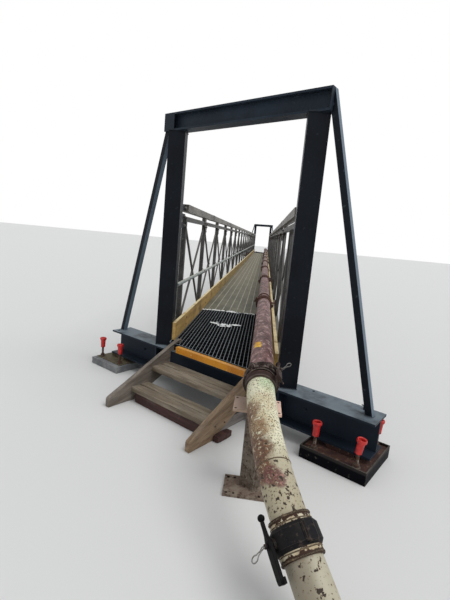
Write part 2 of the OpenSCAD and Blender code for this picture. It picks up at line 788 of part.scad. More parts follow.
module deck_panels() { placed() color(deck_grey) floor_panels(); }
module toe_boards() { placed() color(toe_yellow) side_boards(); }
module pipe_run() { placed() color(rust_pipe) translate([pipe_x, 0, axis_z]) tube_y(-first_joint, far_joint_y); }
module run_couplings() { placed() color(dark_cast) for (i = [1:run_joints - 1]) at_run_joint(i) coupling_ring(); }
module far_coupling() { placed() color(dark_cast) at_run_joint(run_joints) coupling_ring(3); }
module pipe_brackets() {
    placed() color(stand_rust) for (i = [0:bays]) translate([0, end_gap + i * bay_len, 0]) pipe_bracket();
}
module post_coupling() {
    placed() color(dark_cast) at_run_joint(0) {
        tilting_ring();
        rotate([0, post_lever_turn, 0]) trunnion();
    }
}
module cream_bend() { placed() color(cream) bent_pipe(); }
module front_coupling() {
    placed() color(dark_cast) at_front_joint() {
        coupling_ring(3, spigot_step);
        rotate([0, front_lever_turn, 0]) trunnion();
    }
}
module tail_pipe() {
    placed() color(cream) at_front_joint() difference() {
        tube_y(-tail_len, 0);
        revolve_y() polygon([[pipe_r - spigot_step, -coupling_gap], [pipe_r + 10, -coupling_gap],
                             [pipe_r + 10, 1], [pipe_r - spigot_step, 1]]);
    }
}
module post_lever() {
    placed() color(dark_cast) at_run_joint(0) rotate([0, post_lever_turn, 0]) coupling_lever(20);
}
module front_lever() {
    placed() color(dark_cast) at_front_joint() rotate([0, front_lever_turn, 0])
        coupling_lever(20 + lever_play, 104, 138);
}
module lever_clips() {
    placed() color(stud_steel) {
        at_run_joint(0) rotate([0, post_lever_turn, 0]) lever_clip();
        at_front_joint() rotate([0, front_lever_turn, 0]) lever_clip();
    }
}
module pipe_post() { placed() color(post_brown) square_post(); }
module post_base_plate() { placed() color(post_brown) base_plate(); }
module post_head_plate() { placed() color(salmon) head_plate(); }

near_base_beam();
near_header();
near_columns();
near_braces();
near_gussets();
near_pad_left();
near_pad_right();
near_pad_fill();
near_anchor_studs();
near_stud_caps();
near_nosing();
near_grating();
near_stringers();
near_treads();
near_stair_timbers();
far_base_beam();
far_header();
far_columns();
far_braces();
far_gussets();
far_pads();
far_pad_fill();
far_anchor_studs();
far_stud_caps();
far_nosing();
far_grating();
far_stringers();
far_treads();
far_stair_timbers();
truss_left();
truss_right();
top_rails();
mid_rail();
truss_lugs();
transoms();
deck_panels();
toe_boards();
pipe_run();
run_couplings();
pipe_brackets();
far_coupling();
post_coupling();
cream_bend();
front_coupling();
tail_pipe();
post_lever();
front_lever();
lever_clips();
pipe_post();
post_base_plate();
post_head_plate();
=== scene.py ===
import math
import random

import bmesh
import bpy
from mathutils import Matrix, Vector
from mathutils import noise as field


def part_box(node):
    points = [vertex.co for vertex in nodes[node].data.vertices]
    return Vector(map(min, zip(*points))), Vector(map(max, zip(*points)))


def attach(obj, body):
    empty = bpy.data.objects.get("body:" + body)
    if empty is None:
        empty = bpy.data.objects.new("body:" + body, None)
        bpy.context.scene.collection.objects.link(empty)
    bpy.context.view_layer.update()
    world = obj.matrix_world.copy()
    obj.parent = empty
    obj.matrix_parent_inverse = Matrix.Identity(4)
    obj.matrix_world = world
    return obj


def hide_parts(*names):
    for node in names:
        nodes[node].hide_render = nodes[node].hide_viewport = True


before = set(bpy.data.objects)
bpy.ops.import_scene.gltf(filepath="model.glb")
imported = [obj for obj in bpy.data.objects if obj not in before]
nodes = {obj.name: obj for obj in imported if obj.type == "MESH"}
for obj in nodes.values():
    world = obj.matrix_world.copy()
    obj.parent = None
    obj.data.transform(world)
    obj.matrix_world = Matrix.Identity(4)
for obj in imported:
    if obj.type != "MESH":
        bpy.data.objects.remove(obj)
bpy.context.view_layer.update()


def at(x, y, z):
    return Matrix.Translation((x, y, z))


def spin(degrees, axis):
    return Matrix.Rotation(math.radians(degrees), 4, axis)


def polygon(radius, count, start=0):
    # corners of a regular polygon, the first one at start degrees
    turns = [math.radians(start) + 2 * math.pi * k / count for k in range(count)]
    return [(radius * math.cos(a), radius * math.sin(a)) for a in turns]


def linear(*screen):
    # screen values from 0 to 255, turned into the linear colour that shaders take
    return tuple(c / 3294.6 if c <= 10 else ((c / 255 + 0.055) / 1.055) ** 2.4 for c in screen) + (1.0,)


class Value:
    # one socket of a paint's nodes; sums on it add the Math nodes
    def __init__(self, paint, socket):
        self.paint, self.socket = paint, socket

    def sum(self, operation, first, second):
        return self.paint.node("Math", {"operation": operation}, {0: first, 1: second})

    def __add__(self, other): return self.sum("ADD", self, other)
    def __radd__(self, other): return self.sum("ADD", other, self)
    def __sub__(self, other): return self.sum("SUBTRACT", self, other)
    def __rsub__(self, other): return self.sum("SUBTRACT", other, self)
    def __mul__(self, other): return self.sum("MULTIPLY", self, other)
    def __rmul__(self, other): return self.sum("MULTIPLY", other, self)
    def __truediv__(self, other): return self.sum("DIVIDE", self, other)
    def __rtruediv__(self, other): return self.sum("DIVIDE", other, self)
    def orMore(self, other): return self.sum("MAXIMUM", self, other)


class Paint:
    # a finish: a principled shader whose colour, roughness and bump come from nodes
    def __init__(self, name, slot, rough, **fixed):
        self.material = bpy.data.materials.new(name)
        self.material.use_nodes = True
        self.tree = self.material.node_tree
        self.shader = self.tree.nodes["Principled BSDF"]
        self.slot = slot
        self.shader.inputs["Roughness"].default_value = rough
        for socket, value in fixed.items():
            self.shader.inputs[socket.replace("_", " ")].default_value = value
        self.place = self.node("TexCoord", out="Object")
        self.facing = self.node("NewGeometry", out="Normal")
        self.upward = self.node("SeparateXYZ", sockets={0: self.facing}, out="Z")

    def node(self, kind, settings=None, sockets=None, out=0):
        made = self.tree.nodes.new("ShaderNode" + kind)
        for name, value in (settings or {}).items():
            if name == "stops":
                while len(made.color_ramp.elements) < len(value):
                    made.color_ramp.elements.new(0.5)
                for element, (place, colour) in zip(made.color_ramp.elements, value):
                    element.position, element.color = place, colour
            else:
                setattr(made, name, value)
        for name, value in (sockets or {}).items():
            if isinstance(value, Value):
                self.tree.links.new(value.socket, made.inputs[name])
            else:
                made.inputs[name].default_value = value
        return Value(self, made.outputs[out])

    def noise(self, scale, detail=3.0, rough=0.55, stretch=(1, 1, 1), shift=0.0, turn=None):
        # turn and stretch lay the pattern along a board or a pipe; another shift gives another pattern
        where = self.place
        if turn:
            where = self.node("VectorRotate", {"rotation_type": "EULER_XYZ"}, {"Vector": where, "Rotation": turn})
        where = self.node("VectorMath", {"operation": "MULTIPLY_ADD"},
                          {0: where, 1: stretch, 2: (shift, shift * 0.7, shift * 0.3)})
        return self.node("TexNoise", {}, {"Vector": where, "Scale": scale, "Detail": detail, "Roughness": rough})

    def step(self, value, low, high):
        # rises smoothly from 0 at low to 1 at high, or falls where high is the lower
        return self.node("MapRange", {"interpolation_type": "SMOOTHSTEP"},
                         {"Value": value, "From Min": low, "From Max": high})

    def mix(self, factor, first, second):
        # the two are colours so far, or plain screen values
        first, second = (c if isinstance(c, Value) else linear(*c) for c in (first, second))
        return self.node("Mix", {"data_type": "RGBA"}, {0: factor, 6: first, 7: second}, out=2)

    def over(self, colour, value, low, high, tint, amount=1):
        # lays a tint over a colour where a value goes from low to high
        mask = self.step(value, low, high)
        return self.mix(mask if amount == 1 else mask * amount, colour, tint)

    def along(self, point, direction):
        # distance of the surface from a point, measured along a direction
        away = self.node("VectorMath", {"operation": "SUBTRACT"}, {0: self.place, 1: point})
        return self.node("VectorMath", {"operation": "DOT_PRODUCT"}, {0: away, 1: direction}, out="Value")

    def spot(self, point, radius, ragged, scale):
        # 1 near a point, with a ragged edge, and 0 beyond the radius
        away = self.node("VectorMath", {"operation": "DISTANCE"}, {0: self.place, 1: point}, out="Value")
        reach = away / radius + (self.noise(scale, 4) - 0.5) * (2 * ragged)
        return self.step(reach, 1.0, 0.55)

    def edges(self, radius):
        # 1 where the surface bends sharply outward or inward
        rounded = self.node("Bevel", {"samples": 4}, {"Radius": radius})
        plain = self.node("NewGeometry", out="True Normal")
        same = self.node("VectorMath", {"operation": "DOT_PRODUCT"}, {0: rounded, 1: plain}, out="Value")
        return self.step(1 - same, 0.01, 0.2)

    def finish(self, colour, rough, height, depth):
        bump = self.node("Bump", {}, {"Strength": 0.8, "Distance": depth, "Height": height})
        for value, socket in ((colour, "Base Color"), (rough, "Roughness"), (bump, "Normal")):
            self.tree.links.new(value.socket, self.shader.inputs[socket])
        return self


# what a steel finish has where its own look doesn't say
steelUsual = dict(gloss=0.5, cloud=2.6, grain=70, speckle=0.35, edgeWidth=0.006, wear=0.7, rustScale=9,
                  dustAndSheenAmount=0.6, depth=0.0015)


def weatheredPaint(name, slot, own):
    # painted steel: mottled, scratched at edges, rusty in patches, lighter on some faces as painted light, tinted
    # along a direction (painted light on the base beam, painted shade on the head plate), dusty with a painted
    # sheen on what faces up
    look = {**steelUsual, **own}
    paint = Paint(name, slot, rough=look["rough"], Specular_IOR_Level=look["gloss"])
    cloud, grain = paint.noise(look["cloud"], 5, 0.6), paint.noise(look["grain"], 3)
    edge = paint.edges(look["edgeWidth"])
    colour = paint.over(look["dark"], cloud, 0.38, 0.64, look["base"])
    colour = paint.over(colour, grain, 0.45, 0.75, look["light"], look["speckle"])
    worn = paint.step(edge * 0.32 + paint.noise(34, 4, shift=3.0), 0.62, 0.74)
    colour = paint.mix(worn * look["wear"], colour, look["worn"])
    rusty = worn
    if "rust" in look:
        patch = paint.noise(look["rustScale"], 6, 0.65, shift=7.0)
        rusty = paint.step(patch + edge * 0.1, look["rustFrom"], look["rustFrom"] + 0.05)
        colour = paint.mix(rusty, colour, paint.mix(grain, look["rust"], look["rustDark"]))
    # litSide: faces turned towards a given way get a lighter tone, painted light on the lit side
    if "litSide" in look:
        way, litSide, amount = look["litSide"]
        turned = paint.node("VectorMath", {"operation": "DOT_PRODUCT"}, {0: paint.facing, 1: way}, out="Value")
        colour = paint.over(colour, turned, 0.6, 0.9, litSide, amount)
    # bandTint lays a tone over one side of a plane: painted light on the base beam, painted shade on the head
    # plate, and a greyer top band on the trays
    if "bandTint" in look:
        point, way, low, high, bandTone, amount = look["bandTint"]
        colour = paint.over(colour, paint.along(point, way), low, high, bandTone, amount)
    # dust on upward faces, which on the charcoal paint also stands for a painted sheen; below shadeBelow it is
    # left off, so the shaded faces stay dark as painted shade
    dustAndSheen = paint.step(paint.upward, 0.6, 0.95) * paint.step(paint.noise(5, 4, shift=1.0), 0.25, 0.6)
    if "shadeBelow" in look:
        height = paint.along((0, 0, 0), (0, 0, 1))
        dustAndSheen = dustAndSheen * paint.step(height, look["shadeBelow"], look["shadeBelow"] + 0.02)
    colour = paint.mix(dustAndSheen * look["dustAndSheenAmount"], colour, look["dustAndSheen"])
    roughness = (look["rough"] - 0.1) + grain * 0.2 + rusty * 0.25 + dustAndSheen * 0.1
    return paint.finish(colour, roughness, grain * 0.25 + rusty * 0.6 + cloud * 0.2, look["depth"])


# finishes of the steel: the slot and what a user would change, colours as screen values
steelLooks = {
    "charcoalPaint": ("charcoal_paint", dict(
        base=(17, 22, 30), dark=(9, 13, 20), light=(26, 32, 40), worn=(66, 74, 82),
        # the bluish coat on upward faces is dust and a painted sheen; below shadeBelow the lower flange is left
        # dark as painted shade
        dustAndSheen=(122, 134, 142), dustAndSheenAmount=0.85, shadeBelow=0.3, rough=0.45, gloss=0.12, wear=0.4, speckle=0.2,
        # below the beam's top the paint turns lighter and bluer: painted light on the base beam
        bandTint=((0, 0, 0.0), (0, 0, 1), 0.385, 0.375, (34, 43, 54), 0.9),
        rust=(62, 48, 42), rustDark=(40, 32, 30), rustFrom=0.78, depth=0.0006)),
    "bracePaint": ("charcoal_paint", dict(
        base=(20, 26, 34), dark=(12, 17, 24), light=(30, 37, 46), worn=(80, 90, 100),
        dustAndSheen=(122, 134, 142), dustAndSheenAmount=0.6, rough=0.45, gloss=0.12, wear=0.4, speckle=0.2,
        # the faces turned to the right are painted lighter: painted light on the brace's lit side
        litSide=((0.839, -0.545, 0.0), (112, 128, 142), 0.8), depth=0.0006)),
    # the header and gussets: the columns' charcoal paint made lighter and bluer, painted light
    "litHeaderPaint": ("charcoal_paint", dict(
        base=(40, 50, 61), dark=(31, 39, 49), light=(52, 62, 73), worn=(84, 94, 104),
        dustAndSheen=(100, 110, 118), dustAndSheenAmount=0.6, rough=0.45, gloss=0.12, wear=0.3, depth=0.0006)),
    # the rails' grey steel made darker on the trusses: painted shade
    "trussSteel": ("grey_steel", dict(
        base=(66, 65, 64), dark=(34, 33, 34), light=(92, 90, 84), worn=(128, 126, 118),
        dustAndSheen=(118, 114, 106), dustAndSheenAmount=0.6, rough=0.55, wear=0.7, cloud=4.0, rust=(84, 62, 44),
        rustDark=(58, 40, 30), rustFrom=0.66)),
    "railSteel": ("grey_steel", dict(
        base=(112, 107, 98), dark=(74, 70, 66), light=(140, 138, 130), worn=(165, 163, 155),
        dustAndSheen=(158, 152, 140), dustAndSheenAmount=0.7, rough=0.5, wear=0.8, cloud=3.0, rust=(96, 72, 50),
        rustDark=(62, 46, 36), rustFrom=0.68)),
    # the mid rail is galvanised, and painted paler than the top rails to stand for highlights along the tube:
    # painted highlight
    "midRailSteel": ("grey_steel", dict(
        base=(146, 149, 144), dark=(98, 112, 116), light=(182, 186, 172), worn=(204, 206, 192),
        dustAndSheen=(196, 198, 182), dustAndSheenAmount=0.6, rough=0.5, wear=0.6, cloud=6.0, rust=(112, 92, 72),
        rustDark=(76, 62, 52), rustFrom=0.7)),
    "pinSteel": ("stud_steel", dict(
        base=(112, 110, 106), dark=(72, 68, 64), light=(148, 146, 142), worn=(172, 170, 166),
        dustAndSheen=(120, 112, 104), dustAndSheenAmount=0.3, rough=0.45, rust=(88, 58, 40), rustDark=(56, 38, 28),
        rustFrom=0.6, rustScale=40, depth=0.0006)),
    "rustyBolt": ("stud_steel", dict(
        base=(84, 70, 62), dark=(52, 42, 38), light=(112, 98, 88), worn=(140, 130, 120),
        dustAndSheen=(110, 100, 92), dustAndSheenAmount=0.4, rough=0.7, rust=(98, 60, 40), rustDark=(60, 38, 28),
        rustFrom=0.52, rustScale=40, depth=0.0008)),
    "amberPaint": ("amber_paint", dict(
        base=(222, 146, 10), dark=(196, 118, 4), light=(234, 168, 40), worn=(236, 204, 136),
        dustAndSheen=(222, 178, 96), dustAndSheenAmount=0.35, rough=0.45, wear=0.7, rust=(120, 78, 34),
        rustDark=(76, 50, 28), rustFrom=0.66, rustScale=22)),
    "salmonPaint": ("salmon_paint", dict(
        base=(250, 216, 198), dark=(236, 198, 180), light=(254, 228, 214), worn=(176, 146, 130),
        # darker to the left of the pipe: painted shade on the head plate
        bandTint=((0.385, 0, 0), (1, 0, 0), 0.01, -0.06, (150, 128, 112), 0.9),
        dustAndSheen=(226, 196, 180), dustAndSheenAmount=0.3, rough=0.6, wear=0.8, rust=(116, 84, 66),
        rustDark=(80, 58, 48), rustFrom=0.58, rustScale=20)),
    "trayPaint": ("charcoal_paint", dict(
        base=(8, 9, 15), dark=(4, 5, 10), light=(18, 19, 26), worn=(96, 92, 84),
        dustAndSheen=(98, 94, 88), dustAndSheenAmount=0.9, rough=0.55, gloss=0.05, wear=0.75, edgeWidth=0.007, speckle=0.1,
        bandTint=((0, 0, 0), (0, 0, 1), 0.068, 0.082, (56, 52, 50), 0.75),
        rust=(46, 43, 44), rustDark=(28, 27, 29), rustFrom=0.72, rustScale=14)),
    "bracketRust": ("bracket_rust", dict(
        base=(98, 50, 42), dark=(62, 34, 30), light=(124, 74, 60), worn=(140, 100, 82),
        dustAndSheen=(130, 100, 84), dustAndSheenAmount=0.4, rough=0.7, rust=(82, 48, 34), rustDark=(50, 32, 26),
        rustFrom=0.5, rustScale=24)),
    "postRust": ("post_rust", dict(
        base=(104, 94, 82), dark=(76, 62, 50), light=(146, 140, 128), worn=(160, 152, 140),
        dustAndSheen=(118, 102, 88), dustAndSheenAmount=0.4, rough=0.7, wear=0.6, cloud=16, grain=110, rust=(74, 56, 44),
        rustDark=(48, 38, 30), rustFrom=0.55, rustScale=42, depth=0.0025)),
    "basePlateRust": ("post_rust", dict(
        base=(130, 117, 102), dark=(98, 78, 66), light=(166, 156, 142), worn=(168, 156, 142),
        dustAndSheen=(122, 108, 94), dustAndSheenAmount=0.35, rough=0.75, wear=0.5, cloud=18, grain=120, rust=(78, 52, 42),
        rustDark=(50, 36, 30), rustFrom=0.54, rustScale=30, depth=0.0025)),
    "leverBlack": ("cast_black", dict(
        base=(6, 6, 8), dark=(4, 4, 5), light=(14, 14, 16), worn=(50, 48, 50), dustAndSheen=(30, 30, 32), dustAndSheenAmount=0.25,
        rough=0.5, gloss=0.08, wear=0.5, rust=(66, 52, 44), rustDark=(40, 34, 32), rustFrom=0.66, rustScale=30,
        depth=0.001)),
    # near-black discs set into the plates' holes: painted shade
    "holeShade": ("cast_black", dict(
        base=(5, 5, 6), dark=(3, 3, 4), light=(8, 8, 9), worn=(10, 9, 9), dustAndSheen=(8, 8, 8), dustAndSheenAmount=0.2,
        rough=0.8, gloss=0.0, wear=0.2)),
}
finishes = {name: weatheredPaint(name, *values) for name, values in steelLooks.items()}


def mortarPaint():
    paint = Paint("plinthMortar", "plinth_mortar", rough=0.9)
    cloud, grit = paint.noise(7, 5, 0.65), paint.noise(160, 3)
    colour = paint.over((98, 100, 104), cloud, 0.35, 0.7, (142, 144, 144))
    colour = paint.over(colour, grit, 0.5, 0.75, (84, 84, 86))
    colour = paint.over(colour, paint.edges(0.01) * 0.3 + cloud, 0.6, 0.8, (168, 170, 168), 0.7)
    return paint.finish(colour, 0.8 + grit * 0.15, cloud * 0.5 + grit, 0.003)


def fillingPaint():
    # rusty silt in the trays, greener on the left pad
    paint = Paint("padFilling", "rusty_fill", rough=0.85)
    cloud, grit = paint.noise(14, 6, 0.7), paint.noise(120, 4)
    colour = paint.over((46, 21, 16), cloud, 0.36, 0.66, (74, 45, 34))
    colour = paint.over(colour, paint.noise(30, 5, shift=5.0), 0.6, 0.68, (112, 88, 66))
    green = paint.step(paint.along((0, 0, 0), (1, 0, 0)), 0.2, -0.4) * paint.step(cloud, 0.3, 0.5)
    colour = paint.mix(green * 0.8, colour, (98, 92, 66))
    colour = paint.over(colour, grit, 0.5, 0.7, (44, 30, 26), 0.6)
    return paint.finish(colour, 0.65 + grit * 0.3, cloud + grit * 0.6, 0.006)


def capPaint():
    paint = Paint("capPlastic", "cap_plastic", rough=0.42, Coat_Weight=0.15, Coat_Roughness=0.3)
    cloud, grit = paint.noise(30, 3), paint.noise(260, 3)
    colour = paint.over((176, 28, 26), cloud, 0.35, 0.65, (212, 38, 34))
    colour = paint.over(colour, paint.edges(0.003) * 0.4 + cloud, 0.6, 0.8, (232, 74, 64))
    dustAndSheen = paint.step(paint.upward, 0.5, 0.95) * paint.step(grit, 0.45, 0.65)
    colour = paint.mix(dustAndSheen * 0.4, colour, (168, 96, 84))
    return paint.finish(colour, 0.34 + grit * 0.25, grit * 0.3 + cloud, 0.0004)


# the stairs' timber: the slot, and the tones of its base, pale grain, dark grain and stain
timberLooks = dict(
    greyTimber=("timber", (98, 88, 79), (132, 123, 113), (62, 54, 49), (88, 85, 81)),
    tanTimber=("timber", (120, 98, 76), (156, 134, 108), (74, 56, 42), (108, 100, 92)),
    treadTimber=("timber", (112, 99, 82), (148, 137, 120), (64, 54, 45), (98, 96, 90)),
    paleTimber=("stained_timber", (116, 108, 104), (148, 142, 138), (66, 56, 54), (104, 84, 80)),
    stainedTimber=("stained_timber", (52, 28, 26), (78, 50, 44), (28, 17, 17), (88, 80, 76)))


def timberPaint(name, turn, slot, base, pale, dark, tint):
    # the grain runs along the board: turn brings the board's length to the x axis
    paint = Paint(name, slot, rough=0.8)
    broad = paint.noise(2.2, 4, 0.6, stretch=(1, 9, 9), turn=turn)
    fine = paint.noise(7, 5, 0.7, stretch=(1, 26, 26), shift=2.0, turn=turn)
    crack = paint.noise(3, 2, 0.5, stretch=(1, 40, 40), shift=9.0, turn=turn)
    stain = paint.noise(6, 5, 0.65, shift=4.0)
    colour = paint.over(base, broad, 0.34, 0.66, pale)
    colour = paint.over(colour, fine, 0.5, 0.72, dark, 0.75)
    colour = paint.over(colour, stain, 0.5, 0.72, tint, 0.6)
    colour = paint.over(colour, crack, 0.66, 0.72, dark)
    colour = paint.over(colour, paint.edges(0.006) * 0.3 + stain, 0.58, 0.78, pale, 0.6)
    height = fine * 0.5 + broad * 0.4 - paint.step(crack, 0.64, 0.72)
    return paint.finish(colour, 0.72 + fine * 0.2, height, 0.003)


def toePaint():
    # yellow boards with a pale cut edge on top, stained brown in places
    paint = Paint("toeBoardPaint", "toe_paint", rough=0.65)
    broad = paint.noise(2.4, 4, 0.6, stretch=(9, 1, 7))
    fine = paint.noise(6, 5, 0.7, stretch=(20, 1, 22), shift=2.0)
    colour = paint.over((172, 138, 78), broad, 0.34, 0.66, (204, 168, 100))
    colour = paint.over(colour, fine, 0.5, 0.75, (112, 84, 44), 0.5)
    colour = paint.over(colour, paint.along((0, -13.0, 0), (0, 1, 0)), 0.0, 7.0, (134, 122, 88), 0.55)
    colour = paint.over(colour, paint.noise(2.6, 6, 0.7, shift=6.0), 0.54, 0.66, (88, 70, 48), 0.7)
    top = paint.step(paint.upward, 0.7, 0.9)
    colour = paint.mix(top * paint.step(paint.noise(12, 4), 0.3, 0.5), colour, (222, 204, 158))
    colour = paint.over(colour, paint.noise(40, 5, shift=8.0), 0.6, 0.7, (78, 64, 48), 0.5)
    return paint.finish(colour, 0.55 + fine * 0.3, fine * 0.5 + broad * 0.3, 0.002)


def deckPaint():
    # khaki anti-slip paint, trodden and dusty
    paint = Paint("deckPaint", "deck_paint", rough=0.75)
    cloud, grit = paint.noise(5, 6, 0.65, stretch=(1, 0.35, 1)), paint.noise(180, 3)
    colour = paint.over((88, 87, 74), cloud, 0.35, 0.65, (118, 115, 98))
    colour = paint.over(colour, grit, 0.48, 0.7, (70, 70, 60), 0.7)
    colour = paint.over(colour, paint.along((0, -11.0, 0), (0, 1, 0)), 0.0, 6.0, (134, 126, 104), 0.6)
    colour = paint.over(colour, paint.noise(11, 6, 0.7, shift=6.0), 0.6, 0.68, (142, 138, 124), 0.6)
    return paint.finish(colour, 0.65 + grit * 0.25, grit + cloud * 0.5, 0.0015)


def ribPaint():
    paint = Paint("deckRibPaint", "deck_paint", rough=0.5)
    cloud, grit = paint.noise(14, 5, stretch=(1, 0.4, 1)), paint.noise(150, 3)
    colour = paint.over((132, 129, 116), cloud, 0.34, 0.6, (176, 172, 156))
    colour = paint.over(colour, grit, 0.5, 0.7, (92, 90, 80), 0.4)
    return paint.finish(colour, 0.4 + grit * 0.3, grit * 0.4 + cloud * 0.4, 0.001)


def gratingPaint():
    # dark bars whose tops are trodden bright
    paint = Paint("gratingSteel", "dark_grating", rough=0.5, Specular_IOR_Level=0.15)
    cloud, grit = paint.noise(6, 5, 0.65), paint.noise(140, 4)
    colour = paint.over((9, 11, 17), cloud, 0.35, 0.65, (20, 23, 30))
    top = paint.step(paint.upward, 0.6, 0.9) * (paint.step(grit * 0.4 + cloud * 0.6, 0.3, 0.44) * 0.3 + 0.7)
    colour = paint.mix(top, colour, (140, 146, 150))
    colour = paint.over(colour, paint.noise(9, 4, shift=4.0), 0.58, 0.68, (72, 68, 66), 0.4)
    return paint.finish(colour, 0.5 + grit * 0.3, grit, 0.0006)


def rodPaint():
    # the cross rods lie lower and stay dark
    paint = Paint("gratingRodSteel", "dark_grating", rough=0.6, Specular_IOR_Level=0.1)
    cloud, grit = paint.noise(5, 5, 0.65), paint.noise(90, 4)
    colour = paint.over((8, 9, 13), cloud, 0.4, 0.62, (24, 26, 30))
    colour = paint.over(colour, grit, 0.5, 0.7, (14, 14, 16), 0.5)
    colour = paint.over(colour, paint.upward, 0.6, 0.9, (92, 96, 100), 0.8)
    return paint.finish(colour, 0.5 + grit * 0.3, grit, 0.0006)


def crustPaint():
    # splashes of dried mortar
    paint = Paint("driedMortar", "plinth_mortar", rough=0.9)
    cloud, grit = paint.noise(30, 5), paint.noise(200, 4)
    colour = paint.over((232, 235, 235), cloud, 0.35, 0.65, (250, 251, 250))
    colour = paint.over(colour, grit, 0.54, 0.72, (172, 174, 174), 0.4)
    return paint.finish(colour, 0.8 + grit * 0.15, grit + cloud, 0.002)


def runPaint():
    # worn purple-brown paint with pink-grey rubbed patches and dark rust
    paint = Paint("runPaint", "run_paint", rough=0.5)
    cloud = paint.noise(4.5, 6, 0.68, stretch=(1, 0.6, 1))
    blot = paint.noise(22, 6, 0.74, stretch=(1, 0.7, 1), shift=3.0)
    grit = paint.noise(110, 4)
    colour = paint.over((84, 50, 47), cloud, 0.36, 0.62, (126, 92, 89))
    colour = paint.over(colour, blot, 0.53, 0.6, (190, 164, 160), 0.85)
    colour = paint.over(colour, blot, 0.47, 0.39, (44, 23, 20))
    farther = paint.step(paint.along((0, -9.0, 0), (0, 1, 0)), 0.0, 5.0)
    pale = farther * paint.step(cloud, 0.45, 0.62)
    colour = paint.mix(pale * 0.7, colour, (138, 124, 104))
    colour = paint.over(colour, grit, 0.52, 0.72, (66, 46, 42), 0.5)
    ragged = (paint.noise(60, 3, shift=6.0) - 0.5) * 0.04
    across = paint.along(runMark, (1, 0, 0)) + ragged
    lengthwise = paint.along(runMark, (0, 1, 0)) + ragged * 2 + paint.along(runMark, (1, 0, 0)) * 1.2
    mark = (paint.step(across, -0.022, -0.018) * paint.step(across, 0.028, 0.024)
            * paint.step(lengthwise, -0.084, -0.07) * paint.step(lengthwise, 0.08, 0.068))
    amber = paint.over((198, 140, 26), blot, 0.42, 0.58, (236, 188, 50))
    colour = paint.mix(mark * paint.step(paint.upward, 0.0, 0.2), colour, amber)
    height = blot * 0.6 + grit * 0.3 + cloud * 0.4
    return paint.finish(colour, 0.42 + blot * 0.3 + grit * 0.1, height, 0.0025)


def chippedPaint(name, extra):
    # cream paint chipped to dark metal; extra adds stains and says how dense the chips are
    paint = Paint(name, "cream_paint", rough=0.45)
    cloud = paint.noise(9, 5, 0.6)
    speck = paint.noise(125, 3, 0.5, shift=2.0)
    chip = paint.noise(46, 4, 0.55, shift=5.0)
    colour = paint.over((210, 204, 172), cloud, 0.36, 0.64, (230, 226, 198))
    colour, specks, chips = extra(paint, colour)
    tiny = paint.step(speck + specks * 0.1, 0.68, 0.72)
    large = paint.step(chip + chips * 0.1, 0.69, 0.71)
    colour = paint.over(colour, chip + chips * 0.1, 0.63, 0.69, (150, 122, 88), 0.3)
    colour = paint.mix(tiny * 0.9, colour, (92, 74, 52))
    colour = paint.mix(large, colour, (52, 42, 34))
    lost = tiny.orMore(large)
    return paint.finish(colour, 0.42 + lost * 0.35 + cloud * 0.1, cloud * 0.3 - lost, 0.0012)


# values that the footway, the portals and the pipe share, in metres
bridge = dict(
    length=28.38, skew=math.radians(33), endGap=2.19, bayLength=3.0, bays=8, floorHalf=0.527, walkHalf=0.495,
    beamTop=0.38, deckTop=0.445, chordX=0.58, columnX=0.61, columnY=0.3961, columnWidth=0.16, columnDepth=0.118,
    headerBottom=2.473, topChord=1.705, railBottom=1.755, pipeX=0.385, pipeHeight=0.672, pipeRadius=0.084,
    ringRadius=0.109, collarRadius=0.094, firstJoint=1.13, pipeLength=3.0)
columnsLow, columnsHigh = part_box("near_columns")
portalY = (columnsLow.y + columnsHigh.y) / 2


def portalFrame(far=False):
    # square to the bridge, from the near or the far portal's centre on the ground
    if far:
        return at(0, portalY + bridge["length"], 0) @ spin(180, "Z")
    return at(0, portalY, 0)


def skewFrame(far=False):
    # turned with the portal's beams: x runs along the beam, y away from the stair
    return portalFrame(far) @ Matrix.Rotation(-bridge["skew"], 4, "Z")


def endName(far):
    return "far" if far else "near"


# the hanging bend, and the frames of the rings at its ends: y runs back along the pipe
bend = dict(radius=1.528, turn=math.radians(35.3), swing=math.radians(44), dip=math.radians(10), start=0.0168)
postFrame = at(bridge["pipeX"], portalY - bridge["firstJoint"], bridge["pipeHeight"])
bendFrame = postFrame @ Matrix.Rotation(bend["dip"], 4, "X") @ Matrix.Rotation(-bend["swing"], 4, "Y")
bendEnd = at(0, -bend["start"] - bend["radius"] * math.sin(bend["turn"]),
             -bend["radius"] * (1 - math.cos(bend["turn"])))
frontFrame = bendFrame @ bendEnd @ Matrix.Rotation(bend["turn"], 4, "X")


def bendPoint(angle, around, reach=bridge["pipeRadius"]):
    # a point on the bend: around is 0 on its upper side and grows to the right
    angle, around = math.radians(angle), math.radians(around)
    high = Vector((0, -math.sin(angle), math.cos(angle)))
    middle = Vector((0, -bend["start"], -bend["radius"])) + high * bend["radius"]
    return bendFrame @ (middle + reach * (math.cos(around) * high + math.sin(around) * Vector((1, 0, 0))))


# the middle of the amber mark on the pipe run
runMark = (bridge["pipeX"] - 0.042, portalY - 0.55, bridge["pipeHeight"] + 0.073)

# stains of the bend: angle along it, angle around it and radius of each blot
stainSpots = dict(streak=((12.5, -26, 0.1), (17, -24, 0.12), (21, -20, 0.11), (24.5, -22, 0.09)),
                  tan=((11, 30, 0.1), (16, 22, 0.1)), pink=((26.3, 16, 0.055), (27.3, 34, 0.042)))


def stainMask(paint, name, ragged=0.4, scale=18):
    # 1 in any of the blots
    blots = [paint.spot(tuple(bendPoint(angle, around)), radius, ragged, scale)
             for angle, around, radius in stainSpots[name]]
    mask = blots[0]
    for blot in blots[1:]:
        mask = mask.orMore(blot)
    return mask


